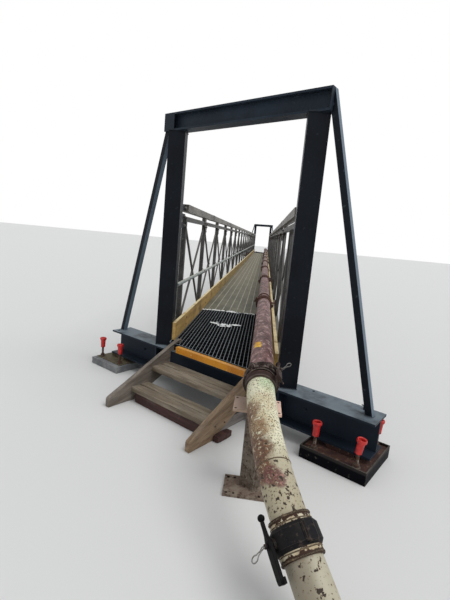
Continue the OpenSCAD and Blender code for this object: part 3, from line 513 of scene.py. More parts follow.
def bendStains(paint, colour):
    # moss at the top, a brown streak, a tan blot, a sore pink one, and a dark seal under the collar
    def along(point, *direction):
        return paint.along(tuple(point), tuple(bendFrame.to_3x3() @ Vector(direction)))

    cloud, fleck = paint.noise(9, 5, 0.6), paint.noise(52, 6, 0.72, shift=8.0)
    top = bendPoint(0, 0)
    fall, aside = along(top, 0, -1, -0.25), along(top, 1, 0, 0)
    green = paint.step(fall, 0.1, 0.03).orMore(paint.step(aside, 0.02, 0.06) * paint.step(fall, 0.24, 0.12))
    mossy = paint.over((146, 182, 132), cloud, 0.4, 0.6, (198, 212, 176))
    colour = paint.mix(green * 0.85, colour, mossy)
    low = paint.step(fall, 0.5, 0.75)
    colour = paint.mix(low * 0.8, colour, (158, 146, 120))
    streak = stainMask(paint, "streak") * paint.step(fleck, 0.38, 0.44)
    colour = paint.mix(streak * 0.97, colour, paint.over((106, 64, 34), fleck, 0.46, 0.62, (66, 34, 20)))
    tan = stainMask(paint, "tan") * paint.step(fleck, 0.42, 0.56)
    colour = paint.mix(tan * 0.5, colour, (196, 170, 128))
    pink = stainMask(paint, "pink", 0.45, 26) * paint.step(fleck, 0.32, 0.44)
    colour = paint.mix(pink * 0.92, colour, paint.over((86, 38, 34), fleck, 0.5, 0.62, (154, 104, 96)))
    seal = paint.step(along(postFrame.translation, 0, -1, 0), 0.0965, 0.0935)
    colour = paint.mix(seal, colour, paint.over((40, 30, 27), cloud, 0.4, 0.6, (74, 58, 50)))
    return colour, 1.15 - low * 0.6 - seal * 3, low * 1.05 - seal * 3


def tailStains(paint, colour):
    # dulled all over, and darker still on the left side as painted shade
    left = paint.step(paint.along(tuple(frontFrame.translation), (0.87, 0.49, 0)), 0.01, -0.06)
    colour = paint.mix(left * 0.35 + 0.6, colour, (136, 127, 110))
    colour = paint.over(colour, paint.noise(12, 6, 0.7, shift=9.0), 0.58, 0.68, (146, 112, 80), 0.6)
    patchy = paint.step(paint.noise(10, 3, shift=12.0), 0.42, 0.62)
    return colour, patchy * 0.4, patchy * 1.3


def castPaint(name, ring, look):
    # rough cast rings; what lies beyond the ring's width is painted like the pipe, with a rusty rim
    paint = Paint(name, "cast_black", rough=0.6, Specular_IOR_Level=0.15)
    cloud, blot, grit = paint.noise(12, 5, 0.65), paint.noise(38, 5, 0.65, shift=4.0), paint.noise(150, 4)
    colour = paint.over(look["dark"], cloud, 0.36, 0.64, look["base"])
    colour = paint.over(colour, blot, 0.56, 0.68, look["brown"], 0.7)
    colour = paint.over(colour, paint.edges(0.008) * 0.32 + blot, 0.58, 0.76, look["worn"], 0.8)
    if ring:
        axis = tuple(ring.to_3x3() @ Vector((0, 1, 0)))
        away = paint.node("Math", {"operation": "ABSOLUTE"}, {0: paint.along(tuple(ring.translation), axis)})
        collar = paint.step(away, 0.0478, 0.0488)
        painted = paint.over(look["collarDark"], cloud, 0.36, 0.64, look["collar"])
        rim = paint.step(away + (blot - 0.5) * 0.04, 0.062, 0.066).orMore(paint.step(blot, 0.5, 0.56))
        colour = paint.mix(collar, colour, paint.mix(rim, painted, look["rim"]))
    return paint.finish(colour, 0.5 + grit * 0.25, grit * 0.4 + blot * 0.7, 0.0025)


# tones of the cast rings, and of the collars beside them
ringLooks = {
    "frontRing": dict(dark=(11, 11, 16), base=(27, 24, 23), brown=(50, 42, 37), worn=(80, 70, 62),
                      collar=(222, 214, 190), collarDark=(186, 168, 138), rim=(60, 43, 34)),
    "postRing": dict(dark=(26, 18, 17), base=(52, 41, 37), brown=(86, 68, 58), worn=(150, 136, 126),
                     collar=(96, 76, 68), collarDark=(62, 44, 40), rim=(52, 38, 34)),
    "collarRim": dict(dark=(34, 26, 23), base=(56, 43, 36), brown=(92, 72, 56), worn=(150, 132, 106)),
    "runRing": dict(dark=(48, 26, 24), base=(84, 52, 46), brown=(110, 76, 66), worn=(136, 112, 100)),
}

finishes.update(
    mortar=mortarPaint(), filling=fillingPaint(), cap=capPaint(), toe=toePaint(), deck=deckPaint(), rib=ribPaint(),
    grating=gratingPaint(), gratingRod=rodPaint(), crust=crustPaint(), run=runPaint(),
    bend=chippedPaint("bendPaint", bendStains), tail=chippedPaint("tailPaint", tailStains))
castFrames = dict(frontRing=frontFrame, postRing=postFrame)
for castName, look in ringLooks.items():
    finishes[castName] = castPaint(castName, castFrames.get(castName), look)
# which way the boards lie: stringers rise to the portal, the packing runs towards it, the others lie across
rising = (0, math.radians(26.7), bridge["skew"] - math.pi / 2)
boardTurns = dict(greyTimber=rising, tanTimber=rising, paleTimber=(0, 0, bridge["skew"] - math.pi / 2))
for timberName, look in timberLooks.items():
    finishes[timberName] = timberPaint(timberName, boardTurns.get(timberName, (0, 0, bridge["skew"])), *look)
print("finishes made:", len(finishes))


class Shape:
    # gathers the faces of one piece
    def __init__(self):
        self.points, self.faces = [], []

    def add(self, points, faces):
        first = len(self.points)
        self.points += [Vector(p) for p in points]
        self.faces += [[first + i for i in face] for face in faces]

    def skin(self, rings, closed=False, flip=False):
        # faces between rings of equally many points, with a cap at each end unless the rings close on themselves
        count, steps = len(rings), len(rings[0])
        faces = []
        for i in range(count if closed else count - 1):
            a, b = i * steps, (i + 1) % count * steps
            faces += [(a + k, a + (k + 1) % steps, b + (k + 1) % steps, b + k) for k in range(steps)]
        if not closed:
            faces += [list(range(steps))[::-1], list(range((count - 1) * steps, count * steps))]
        if flip:
            faces = [tuple(reversed(face)) for face in faces]
        self.add([p for ring in rings for p in ring], faces)

    def box(self, size, matrix):
        x, y, z = (d / 2 for d in size)
        corners = [(i, j, k) for i in (-x, x) for j in (-y, y) for k in (-z, z)]
        self.add([matrix @ Vector(c) for c in corners],
                 [(0, 1, 3, 2), (4, 6, 7, 5), (0, 4, 5, 1), (2, 3, 7, 6), (0, 2, 6, 4), (1, 5, 7, 3)])

    def corners(self, low, high, matrix=Matrix()):
        # a box from its lowest to its highest corner
        low, high = Vector(low), Vector(high)
        self.box(high - low, matrix @ Matrix.Translation((low + high) / 2))

    def prism(self, outline, depth, matrix):
        # an outline in x and y, carried along z
        self.skin([[matrix @ Vector((x, y, z)) for x, y in outline] for z in (0, depth)])

    def lathe(self, profile, matrix, steps, closed=False):
        # a profile of radius and height, turned about z
        circle = polygon(1.0, steps)
        self.skin([[matrix @ Vector((r * x, r * y, z)) for x, y in circle] for r, z in profile], closed)

    def tube(self, route, radius, steps, closed=False, ellipse=1.0):
        # a round bar along a route of points
        route = [Vector(p) for p in route]
        count, rings, side = len(route), [], None
        for i, point in enumerate(route):
            ahead = route[(i + 1) % count] if closed or i < count - 1 else point
            behind = route[i - 1] if closed or i else point
            way = (ahead - behind).normalized()
            side = way.orthogonal() if side is None else side - way * side.dot(way)
            side.normalize()
            other = way.cross(side)
            rings.append([point + radius * (x * side + ellipse * y * other) for x, y in polygon(1.0, steps)])
        self.skin(rings, closed)

    def bead(self, a, b, size, chance):
        # a rippled weld along a line, part sunk in the corner that it fills
        a, b = Vector(a), Vector(b)
        count = max(2, int((b - a).length / 0.02))
        ripple = 0.0008
        self.tube([a.lerp(b, i / count) + Vector([chance.uniform(-ripple, ripple) for _ in range(3)])
                   for i in range(count + 1)], size, 6)

    def beadRound(self, centre, half, height, size, matrix, chance):
        # beads along the four sides of a rectangle
        (x, y), (dx, dy) = centre, half
        ring = [(x - dx, y - dy), (x + dx, y - dy), (x + dx, y + dy), (x - dx, y + dy)]
        for (x0, y0), (x1, y1) in zip(ring, ring[1:] + ring[:1]):
            self.bead(matrix @ Vector((x0, y0, height)), matrix @ Vector((x1, y1, height)), size, chance)

    def bolt(self, point, direction, size, stand=0.0, place=Matrix()):
        # a washer, a hexagon head and the end of the thread, standing on a face
        way = place.to_3x3() @ Vector(direction)
        matrix = Matrix.Translation(place @ Vector(point)) @ way.to_track_quat("Z", "Y").to_matrix().to_4x4()
        self.lathe([(size * 1.15, 0), (size * 1.15, size * 0.22)], matrix, 16)
        self.prism(polygon(size * 0.95, 6, 12), size * 0.85, matrix @ at(0, 0, size * 0.22))
        thread = [(size * 0.5, 0), (size * 0.5, size * 1.35 + stand), (size * 0.38, size * 1.5 + stand)]
        self.lathe(thread, matrix, 12)

    def piece(self, name, finish, body="bridge", bevel=0.0, replaces=(), angle=35):
        mesh = bpy.data.meshes.new(name)
        mesh.from_pydata(self.points, [], self.faces)
        solid = bmesh.new()
        solid.from_mesh(mesh)
        bmesh.ops.recalc_face_normals(solid, faces=solid.faces)
        solid.to_mesh(mesh)
        solid.free()
        mesh.validate()
        made = bpy.data.objects.new(name, mesh)
        bpy.context.scene.collection.objects.link(made)
        mesh.polygons.foreach_set("use_smooth", [True] * len(mesh.polygons))
        mesh.set_sharp_from_angle(angle=math.radians(angle))
        paint = finishes[finish]
        mesh.materials.append(paint.material)
        if bevel:
            wornEdge = made.modifiers.new("worn edge", "BEVEL")
            wornEdge.width, wornEdge.segments, wornEdge.limit_method = bevel, 1, "ANGLE"
            wornEdge.angle_limit = math.radians(40)
        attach(made, body)
        if replaces:
            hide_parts(*replaces)


# the footway's floor

gratingValues = dict(bars=30, barWidth=0.005, barDepth=0.055, barWear=0.0015, endGap=0.004, rodStep=0.1,
                     rodEnds=(0.06, 0.03), rodWidth=0.005, rodTop=0.017, rodBottom=0.0545, edgeWidth=0.007,
                     edgeDepth=0.06, bearers=(0.55, 1.25, 1.95), bearerWidth=0.05, nearEdge=-0.0894, farEdge=2.187,
                     seed=11)


def makeGrating(far):
    v, place = gratingValues, portalFrame(far)
    bars, rods, half = Shape(), Shape(), bridge["floorHalf"]
    top, slope, gap, edge = bridge["deckTop"], math.tan(bridge["skew"]), v["endGap"], v["edgeWidth"]
    chance = random.Random(v["seed"] + far)

    def nearY(x):
        return v["nearEdge"] - x * slope

    halfBar, halfRod = v["barWidth"] / 2, v["rodWidth"] / 2
    for i in range(v["bars"]):
        x = -half + halfBar + i * (2 * half - v["barWidth"]) / (v["bars"] - 1)
        bars.corners((x - halfBar, nearY(x) + gap, top - v["barDepth"]),
                     (x + halfBar, v["farEdge"] - gap, top - chance.uniform(0, v["barWear"])), place)
    y = nearY(half) + v["rodEnds"][0]
    while y < v["farEdge"] - v["rodEnds"][1]:
        left = max(-half, (v["nearEdge"] - y) / slope + gap)
        rods.corners((left, y - halfRod, top - v["rodBottom"]), (half, y + halfRod, top - v["rodTop"]), place)
        y += v["rodStep"]
    # the edge flats: across the far end, along both sides and along the skewed near end
    low = top - v["edgeDepth"]
    bars.corners((-half, v["farEdge"] - edge, low), (half, v["farEdge"], top), place)
    for x0, x1, corner in ((-half, edge - half, -half), (half - edge, half, half)):
        bars.corners((x0, nearY(corner), low), (x1, v["farEdge"], top - 0.001), place)
    bars.prism([(-half, nearY(-half)), (half, nearY(half)), (half, nearY(half) + edge * 1.2),
                (-half, nearY(-half) + edge * 1.2)], v["edgeDepth"], place @ at(0, 0, low))
    for y in v["bearers"]:
        bars.corners((-half, y, bridge["beamTop"]), (half, y + v["bearerWidth"], top - v["barDepth"]), place)
    prefix = endName(far)
    bars.piece(prefix + "Grating", "grating", replaces=[prefix + "_grating"])
    rods.piece(prefix + "GratingRods", "gratingRod")


makeGrating(False)
makeGrating(True)

deckValues = dict(planks=10, joint=0.003, plankTop=0.0045, plankDepth=0.016, plankGap=0.002, sink=0.0012,
                  ribWidth=0.014, ribDepth=0.014, ribSway=0.003, seed=5)


def makeDeck():
    v = deckValues
    panels, ribs = Shape(), Shape()
    half, top = bridge["floorHalf"], bridge["deckTop"]
    chance = random.Random(v["seed"])
    pitch, w, under = 2 * half / v["planks"], v["ribWidth"] / 2, top - v["plankDepth"]
    for bay in range(bridge["bays"]):
        y0 = portalY + bridge["endGap"] + bay * bridge["bayLength"] + v["joint"]
        y1 = y0 + bridge["bayLength"] - 2 * v["joint"]
        panels.corners((-half, y0, bridge["beamTop"]), (half, y1, under))
        for i in range(v["planks"]):
            x0 = -half + i * pitch
            panels.corners((x0 + v["plankGap"], y0, under),
                           (x0 + pitch - v["plankGap"], y1, top - v["plankTop"] - chance.uniform(0, v["sink"])))
        for i in range(1, v["planks"]):
            x = -half + i * pitch + chance.uniform(-v["ribSway"], v["ribSway"])
            outline = [(x - w, top - v["ribDepth"]), (x + w, top - v["ribDepth"]), (x + w, top - 0.003),
                       (x + w * 0.5, top), (x - w * 0.5, top), (x - w, top - 0.003)]
            # the outline stands in x and z, so it is carried along -y from the panel's far end
            ribs.prism(outline, y1 - y0, at(0, y1, 0) @ spin(90, "X"))
    panels.piece("deckPlanks", "deck", replaces=["deck_panels"], bevel=0.0015)
    ribs.piece("deckRibs", "rib")


makeDeck()

# dried mortar: a strip on the grating and a line along the first floor joint
crustValues = dict(stripFlakes=120, stripX=(-0.26, 0.12), stripY=1.335, sagX=-0.09, sag=0.1, wideX=(-0.19, 0.01),
                   jointFlakes=78, jointX=(-0.5, 0.28), jointY=2.163, seed=21)


def makeCrust():
    v, shape = crustValues, Shape()
    chance, place = random.Random(v["seed"]), portalFrame()

    def flake(x, y, size, high):
        count = chance.randint(6, 9)
        ring = [(x + size * chance.uniform(0.5, 1.1) * dx, y + size * chance.uniform(0.5, 1.6) * dy)
                for dx, dy in polygon(1.0, count)]
        shape.prism(ring, high + chance.uniform(0, 0.0012), place @ at(0, 0, bridge["deckTop"] - 0.001))

    for _ in range(v["stripFlakes"]):
        x = chance.uniform(*v["stripX"])
        middle = v["stripY"] - v["sag"] * math.exp(-((x - v["sagX"]) / 0.09) ** 2)
        spread = 0.04 if v["wideX"][0] < x < v["wideX"][1] else 0.01
        flake(x, middle + chance.gauss(0, spread), chance.uniform(0.008, 0.022), 0.0011)
    for _ in range(v["jointFlakes"]):
        x = chance.uniform(*v["jointX"])
        flake(x, v["jointY"] + chance.gauss(0, 0.018), chance.uniform(0.008, 0.026), 0.0012)
    shape.piece("gratingCrust", "crust")


makeCrust()
print("floor made")

# the stair

stairValues = dict(shift=-0.038, width=0.915, thick=0.045, lowTread=0.136, highTread=0.278, treadThick=0.045,
                   boardGap=0.004, lowFront=(-0.593, 0.2), highFront=(-0.359, 0.228), boardEnd=0.16, worn=0.0022,
                   screw=0.006, screwSway=0.012,
                   sideScrews=((-0.55, 0.112), (-0.44, 0.112), (-0.31, 0.255), (-0.19, 0.255), (-0.16, 0.34),
                               (-0.14, 0.39)),
                   treadScrews=(("lowTread", -0.56), ("lowTread", -0.45), ("highTread", -0.31),
                                ("highTread", -0.19)), seed=31)


def plank(shape, low, high, matrix, lengthwise, chance, step=0.05, corner=0.004):
    # a board with rounded, uneven edges that stays inside its box
    wear = stairValues["worn"]
    low, high = Vector(low), Vector(high)
    middle, size = (low + high) / 2, high - low
    order = [lengthwise] + [k for k in range(3) if k != lengthwise]
    length, wide, deep = (size[k] for k in order)
    half, thick = wide / 2, deep / 2
    loop = []
    for sy, sz in ((-1, -1), (1, -1), (1, 1), (-1, 1)):
        for turn in (-45, 0, 45):
            a = math.atan2(sz, sy) + math.radians(turn)
            y, z = sy * (half - corner), sz * (thick - corner)
            loop.append((y + corner * math.cos(a), z + corner * math.sin(a)))
    count = max(3, int(length / step))
    shift = Vector([chance.uniform(0, 50) for _ in range(3)])
    rings = []
    for i in range(count + 1):
        x, ring = -length / 2 + length * i / count, []
        end = corner if i in (0, count) else 0
        for y, z in loop:
            rough = abs(field.noise(Vector((x * 9, y * 30, z * 30)) + shift)) * wear
            rough += max(0.0, field.noise(Vector((x * 3, y * 8, z * 8)) + shift * 1.7)) * wear * 1.5
            point = [0, 0, 0]
            point[order[0]] = x
            point[order[1]] = y * (1 - (rough + end * 0.6) / half)
            point[order[2]] = z * (1 - (rough + end * 0.6) / thick)
            ring.append(matrix @ (middle + Vector(point)))
        rings.append(ring)
    shape.skin(rings, flip=lengthwise == 1)


def worn(outline, step, depth, chance):
    # an outline with more points on its edges, each pushed in a little
    centre = Vector((sum(p[0] for p in outline) / len(outline), sum(p[1] for p in outline) / len(outline)))
    result = []
    for i, p in enumerate(outline):
        p, q = Vector(p), Vector(outline[(i + 1) % len(outline)])
        count = max(1, int((q - p).length / step))
        inward = Vector((-(q - p).y, (q - p).x)).normalized()
        if inward.dot(centre - p) < 0:
            inward = -inward
        for k in range(count):
            push = chance.uniform(0, depth) if k else depth * 0.3
            result.append(tuple(p.lerp(q, k / count) + inward * push))
    return result


stringerTop = [(-0.826, 0), (-0.826, 0.07), (-0.818, 0.086), (-0.048, 0.4725), (-0.034, 0.4785), (0.014, 0.4795),
               (0.0195, 0.4755), (0.0195, 0.4458), (-0.082, 0.4458), (-0.082, 0.3805), (-0.1245, 0.3805)]
stringerFoot = dict(Left=[(-0.1245, 0.209), (-0.5395, 0)], Right=[(-0.1245, 0.228), (-0.58, 0)])


def makeStair(far):
    v, place = stairValues, skewFrame(far)
    chance = random.Random(v["seed"] + far)
    prefix = endName(far)
    left, right, thick = v["shift"] - v["width"] / 2, v["shift"] + v["width"] / 2, v["thick"]
    # prism carries x, y outlines along z: here x is the depth n, y is the height and z runs along the beam
    upright = Matrix(((0, 0, 1, 0), (1, 0, 0, 0), (0, 1, 0, 0), (0, 0, 0, 1)))
    for side, start, finish in (("Left", left - thick, "greyTimber"), ("Right", right, "tanTimber")):
        stringer = Shape()
        outline = worn(stringerTop + stringerFoot[side], 0.05, v["worn"], chance)
        stringer.prism(outline, thick, place @ at(start, 0, 0) @ upright)
        replaced = [prefix + "_stringers"] if side == "Left" else []
        stringer.piece(prefix + "Stringer" + side, finish, bevel=0.004, replaces=replaced)
    treads = Shape()
    for (front, depth), top in ((v["lowFront"], v["lowTread"]), (v["highFront"], v["highTread"])):
        board = (depth - v["boardGap"]) / 2
        for i in (0, 1):
            y0 = front + i * (board + v["boardGap"])
            # the near stair's lowest board has a short piece let in at its right end
            cuts = [left, right] if far or i or top > v["lowTread"] else [left, right - v["boardEnd"], right]
            for a, b in zip(cuts, cuts[1:]):
                low, high = (a + 0.001, y0, top - v["treadThick"]), (b - 0.001, y0 + board, top)
                plank(treads, low, high, place, 0, chance)
    treads.piece(prefix + "Treads", "treadTimber", replaces=[prefix + "_treads"])
    blocks, packing = Shape(), Shape()
    under = v["lowTread"] - v["treadThick"] - 0.0005
    plank(blocks, (left + 0.05, -0.585, 0), (left + v["width"] - 0.05, -0.55, under), place, 0, chance, 0.03)
    plank(blocks, (right + thick, -0.57, 0), (right + thick + 0.058, -0.405, 0.054), place, 1, chance, 0.03)
    plank(packing, (right - 0.03, -0.534, 0), (right, -0.03, under), place, 1, chance, 0.03)
    blocks.piece(prefix + "StairBlocks", "stainedTimber", replaces=[prefix + "_stair_timbers"])
    packing.piece(prefix + "StairPacking", "paleTimber")
    screws = Shape()
    for x, way in ((left - thick, -1), (right + thick, 1)):
        for n, z in v["sideScrews"]:
            screws.bolt((x, n, z), (way, 0, 0), v["screw"], place=place)
    for x in (left + 0.05, right - 0.05, 0.0):
        for tread, n in v["treadScrews"]:
            aside = chance.uniform(-v["screwSway"], v["screwSway"])
            screws.lathe([(0.005, -0.003), (0.005, 0.0006), (0.003, 0.0012)],
                         place @ at(x + aside, n, v[tread] - 0.001), 12)
    screws.piece(prefix + "StairScrews", "rustyBolt")


makeStair(False)
makeStair(True)
print("stairs made")

# studs and caps of the foundation pads

studValues = dict(alongBeam=0.157, acrossBeam=0.205, padX=1.3113, padShift=-0.036, fill=0.078, height=0.148,
                  radius=0.012, pitch=0.003, thread=0.0014, nut=0.0228, nutHeight=0.0185, capLow=0.103,
                  capHeight=0.110, capRadius=0.035, looseTilt=7, tilt=1.5, seed=41)


def makeStuds(far):
    v, place = studValues, skewFrame(far)
    studs, caps = Shape(), Shape()
    chance = random.Random(v["seed"] + far)
    s, r, h = v["radius"], v["capRadius"], v["capHeight"]
    thread, z = [(s, 0)], 0.002
    while z < v["height"] - 0.004:
        thread += [(s, z), (s - v["thread"], z + v["pitch"] / 2)]
        z += v["pitch"]
    thread += [(s, z), (s - 0.003, v["height"])]
    cup = [(0.0145, 0.0), (0.0215, 0.0), (0.0232, 0.003), (0.0236, 0.02), (0.0262, h - 0.034),
           (r - 0.004, h - 0.026), (r, h - 0.02), (r, h - 0.008), (r - 0.003, h - 0.001), (r - 0.007, h),
           (r - 0.0115, h - 0.003), (r - 0.0125, h - 0.008), (0.0205, h - 0.045), (0.0, h - 0.047),
           (0.0, 0.047), (0.0145, 0.045)]
    for side, sx, sy in ((a, b, c) for a in (-1, 1) for b in (-1, 1) for c in (-1, 1)):
        x = side * v["padX"] + v["padShift"] + sx * v["alongBeam"]
        base = place @ at(x, sy * v["acrossBeam"], v["fill"])
        studs.lathe(thread, base, 16)
        studs.lathe([(0.0288, 0), (0.0288, 0.007), (0.027, 0.008)], base, 24)
        turned = base @ Matrix.Rotation(chance.uniform(0, 1), 4, "Z")
        studs.prism(polygon(v["nut"], 6), v["nutHeight"], turned @ at(0, 0, 0.0082))
        loose = side > 0 and sx > 0 and sy < 0
        tilt = v["looseTilt"] if loose else chance.uniform(-v["tilt"], v["tilt"])
        cap = base @ at(0, 0, v["capLow"]) @ spin(tilt, "Y") @ spin(chance.uniform(-v["tilt"], v["tilt"]), "X")
        caps.lathe(cup, cap, 32, closed=True)
        for k in range(3):
            # webs inside the cup's mouth
            web = cap @ Matrix.Rotation(k * math.pi / 1.5 + 0.4, 4, "Z")
            caps.box((0.02, 0.003, 0.034), web @ at(0.0115, 0, h - 0.032))
    prefix = endName(far)
    studs.piece(prefix + "AnchorStuds", "rustyBolt", replaces=[prefix + "_anchor_studs"])
    caps.piece(prefix + "StudCaps", "cap", replaces=[prefix + "_stud_caps"], angle=50)


makeStuds(False)
makeStuds(True)

# welds, bolts and small plates of the portals

portalDetail = dict(columnWeld=0.007, braceWeld=0.005, braceFoot=1.4103, braceHalf=(0.027, 0.026),
                    tab=((-0.07, 0.06, 0.0), (-0.062, 0.1, 0.045)), tabBolt=0.009, webPlugs=(-1.023, 0.925),
                    plugHeight=0.248, plugSize=0.0125, seed=51)


def makePortalDetail(far):
    v, b = portalDetail, bridge
    square, skewed = portalFrame(far), skewFrame(far)
    chance = random.Random(v["seed"] + far)
    welds, plates, bolts = Shape(), Shape(), Shape()
    columnHalf = (b["columnWidth"] / 2, b["columnDepth"] / 2)
    for side in (-1, 1):
        column = (side * b["columnX"], -side * b["columnY"])
        for z in (b["beamTop"], b["headerBottom"]):
            welds.beadRound(column, columnHalf, z, v["columnWeld"], square, chance)
        foot = side * v["braceFoot"]
        if side > 0:
            # a small tab with a bolt beside the brace's foot
            plates.corners(*v["tab"], skewed @ at(foot, 0, b["beamTop"]))
            bolts.bolt((foot - 0.066, 0.08, b["beamTop"] + 0.026), (-1, 0, 0), v["tabBolt"], 0.01, skewed)
        welds.beadRound((foot, 0), v["braceHalf"], b["beamTop"], v["braceWeld"], skewed, chance)
    for x in v["webPlugs"]:
        for way in (-1, 1):
            bolts.bolt((x, way * 0.004, v["plugHeight"]), (0, way, 0), v["plugSize"], -0.004, skewed)
    prefix = endName(far)
    welds.piece(prefix + "PortalWelds", "charcoalPaint")
    plates.piece(prefix + "BracePlates", "charcoalPaint", bevel=0.002)
    bolts.piece(prefix + "PortalBolts", "charcoalPaint")


makePortalDetail(False)
makePortalDetail(True)
print("portals made")

# plates, clamps and bolts of the trusses

trussDetail = dict(plate=0.006, chordHalf=0.025, crossPlate=0.04,
                   nodeOutline=[(-0.095, 0), (0.095, 0), (0.045, 0.12), (-0.045, 0.12)], nodeBolt=0.009,
                   nodeBolts=((-0.055, 0.025), (0.055, 0.025), (0, 0.085)),
                   crossBolt=0.01, spliceHalf=0.11, spliceBolts=(-0.085, -0.035, 0.035, 0.085), spliceBolt=0.008,
                   sleeve=(0.086, 0.16, 0.086), midRail=0.617, strapRadius=0.0225, strapWire=0.0045,
                   strapFoot=(0.006, 0.036, 0.026), strapBolt=0.006, pinSize=0.014, lugReach=(0.409, 0.394))


def makeTrussDetail():
    v, b = trussDetail, bridge
    plates, bolts, straps, pins = Shape(), Shape(), Shape(), Shape()
    low, high, plate = b["beamTop"] + 0.08, b["topChord"] - 0.05, v["plate"]
    centre, count = (low + high) / 2, 2 * b["bays"] + 1
    for side in (-1, 1):
        inner = side * (b["chordX"] - v["chordHalf"])
        inward = Vector((-side, 0, 0))
        for n in range(count):
            y = portalY + b["endGap"] + n * b["bayLength"] / 2
            for z, lift in ((low, 1), (high, -1)):
                # node plates where posts and crossed bars meet the chords
                turn = Matrix(((0, 0, -side, 0), (1, 0, 0, 0), (0, lift, 0, 0), (0, 0, 0, 1)))
                outline = v["nodeOutline"] if side * lift > 0 else v["nodeOutline"][::-1]
                plates.prism(outline, plate, at(inner, y, z) @ turn)
                for dy, dz in v["nodeBolts"]:
                    bolts.bolt((inner - side * plate, y + dy, z + lift * dz), inward, v["nodeBolt"])
            if n < count - 1:
                # a small plate where the bars cross
                middle, half = y + b["bayLength"] / 4, v["crossPlate"]
                faces = sorted((inner + side * 0.016, inner + side * 0.01))
                plates.corners((faces[0], middle - half, centre - half), (faces[1], middle + half, centre + half))
                bolts.bolt((inner + side * 0.01, middle, centre), inward, v["crossBolt"])
            if n % 2 == 0:
                # splice plates on the chords at each panel joint
                for z0, z1, half in ((b["beamTop"] + 0.012, b["beamTop"] + 0.068, 0.03),
                                     (high + 0.006, high + 0.044, v["chordHalf"])):
                    face = side * (b["chordX"] - half)
                    faces = sorted((face, face - side * plate))
                    plates.corners((faces[0], y - v["spliceHalf"], z0), (faces[1], y + v["spliceHalf"], z1))
                    for dy in v["spliceBolts"]:
                        bolts.bolt((face - side * plate, y + dy, (z0 + z1) / 2), inward, v["spliceBolt"])
                # a sleeve over the joint in the top rail
                plates.box(v["sleeve"], at(side * b["chordX"], y + 0.75, b["railBottom"] + 0.04))
            if side < 0:
                # straps that hold the mid rail to the post
                rail = Vector((inner - side * 0.02, y, b["beamTop"] + v["midRail"]))
                for shiftY in (-0.008, 0.0, 0.008):
                    straps.tube([rail + Vector((v["strapRadius"] * math.cos(a) * -side, shiftY,
                                                v["strapRadius"] * math.sin(a)))
                                 for a in (math.radians(t) for t in range(-100, 101, 20))], v["strapWire"], 6)
                for dz in (-0.034, 0.034):
                    straps.box(v["strapFoot"], at(inner - side * v["strapFoot"][0] / 2, y, rail.z + dz))
                    bolts.bolt((inner - side * v["strapFoot"][0], y, rail.z + dz), inward, v["strapBolt"])
    plates.piece("trussPlates", "trussSteel", bevel=0.0015)
    bolts.piece("trussBolts", "rustyBolt")
    straps.piece("midRailStraps", "railSteel")
    for far in (False, True):
        place = portalFrame(far)
        for side, reach in zip((-1, 1), v["lugReach"]):
            for z in (b["railBottom"] + 0.04, b["topChord"] - 0.005, b["topChord"] - 0.095):
                for way in (-1, 1):
                    end = reach - side * b["columnY"] - 0.04
                    pins.bolt((side * b["chordX"] + way * 0.006, end, z), (way, 0, 0), v["pinSize"], place=place)
    pins.piece("lugPins", "pinSteel")


makeTrussDetail()

# coach bolts through the toe boards

toeBolts = dict(first=0.9, count=19, step=1.5, rise=(0.05, 0.13), clear=0.1,
                head=[(0.010, 0), (0.010, 0.001), (0.007, 0.004), (0.002, 0.0055)])


def makeToeBolts():
    v, shape = toeBolts, Shape()
    for side in (-1, 1):
        for i in range(v["count"]):
            y = portalY + v["first"] + i * v["step"]
            if side > 0 and abs((y - portalY - bridge["endGap"]) % bridge["bayLength"]) < v["clear"]:
                continue  # a pipe bracket stands there
            for rise in v["rise"]:
                head = at(side * bridge["walkHalf"], y, bridge["deckTop"] + rise) @ spin(-side * 90, "Y")
                shape.lathe(v["head"], head, 16)
    shape.piece("toeBoardBolts", "rustyBolt")


makeToeBolts()
print("sides made")

# clamps of the pipe run

clampValues = dict(first=1, last=10, turns=(-20, 20, 35), lug=(0.034, 0.066, 0.016), boltY=0.02, hoopHalf=0.018,
                   hoopRadius=0.005, hoopDrop=0.06, seed=61)


def clampDetail(shape, place, turn):
    # two bolted lugs on opposite sides of a ring, and raised rims at its shoulders
    v, r = clampValues, bridge["ringRadius"]
    for k in (0, 1):
        side = place @ spin(turn + 180 * k, "Y")
        for way in (-1, 1):
            shape.box(v["lug"], side @ at(r + 0.008, 0, way * 0.014))
        for y in (-v["boltY"], v["boltY"]):
            shape.lathe([(0.007, -0.036), (0.007, 0.036)], side @ at(r + 0.013, y, 0), 10)
            for low in (-0.032, 0.022):
                shape.prism(polygon(0.012, 6), 0.01, side @ at(r + 0.013, y, low))
    for y in (-1, 1):
        rim = [(r - 0.012, y * 0.047), (r - 0.004, y * 0.047), (r + 0.0015, y * 0.039), (r + 0.0015, y * 0.031),
               (r - 0.012, y * 0.028)]
        shape.lathe(rim if y > 0 else rim[::-1], place @ spin(-90, "X"), 48, closed=True)


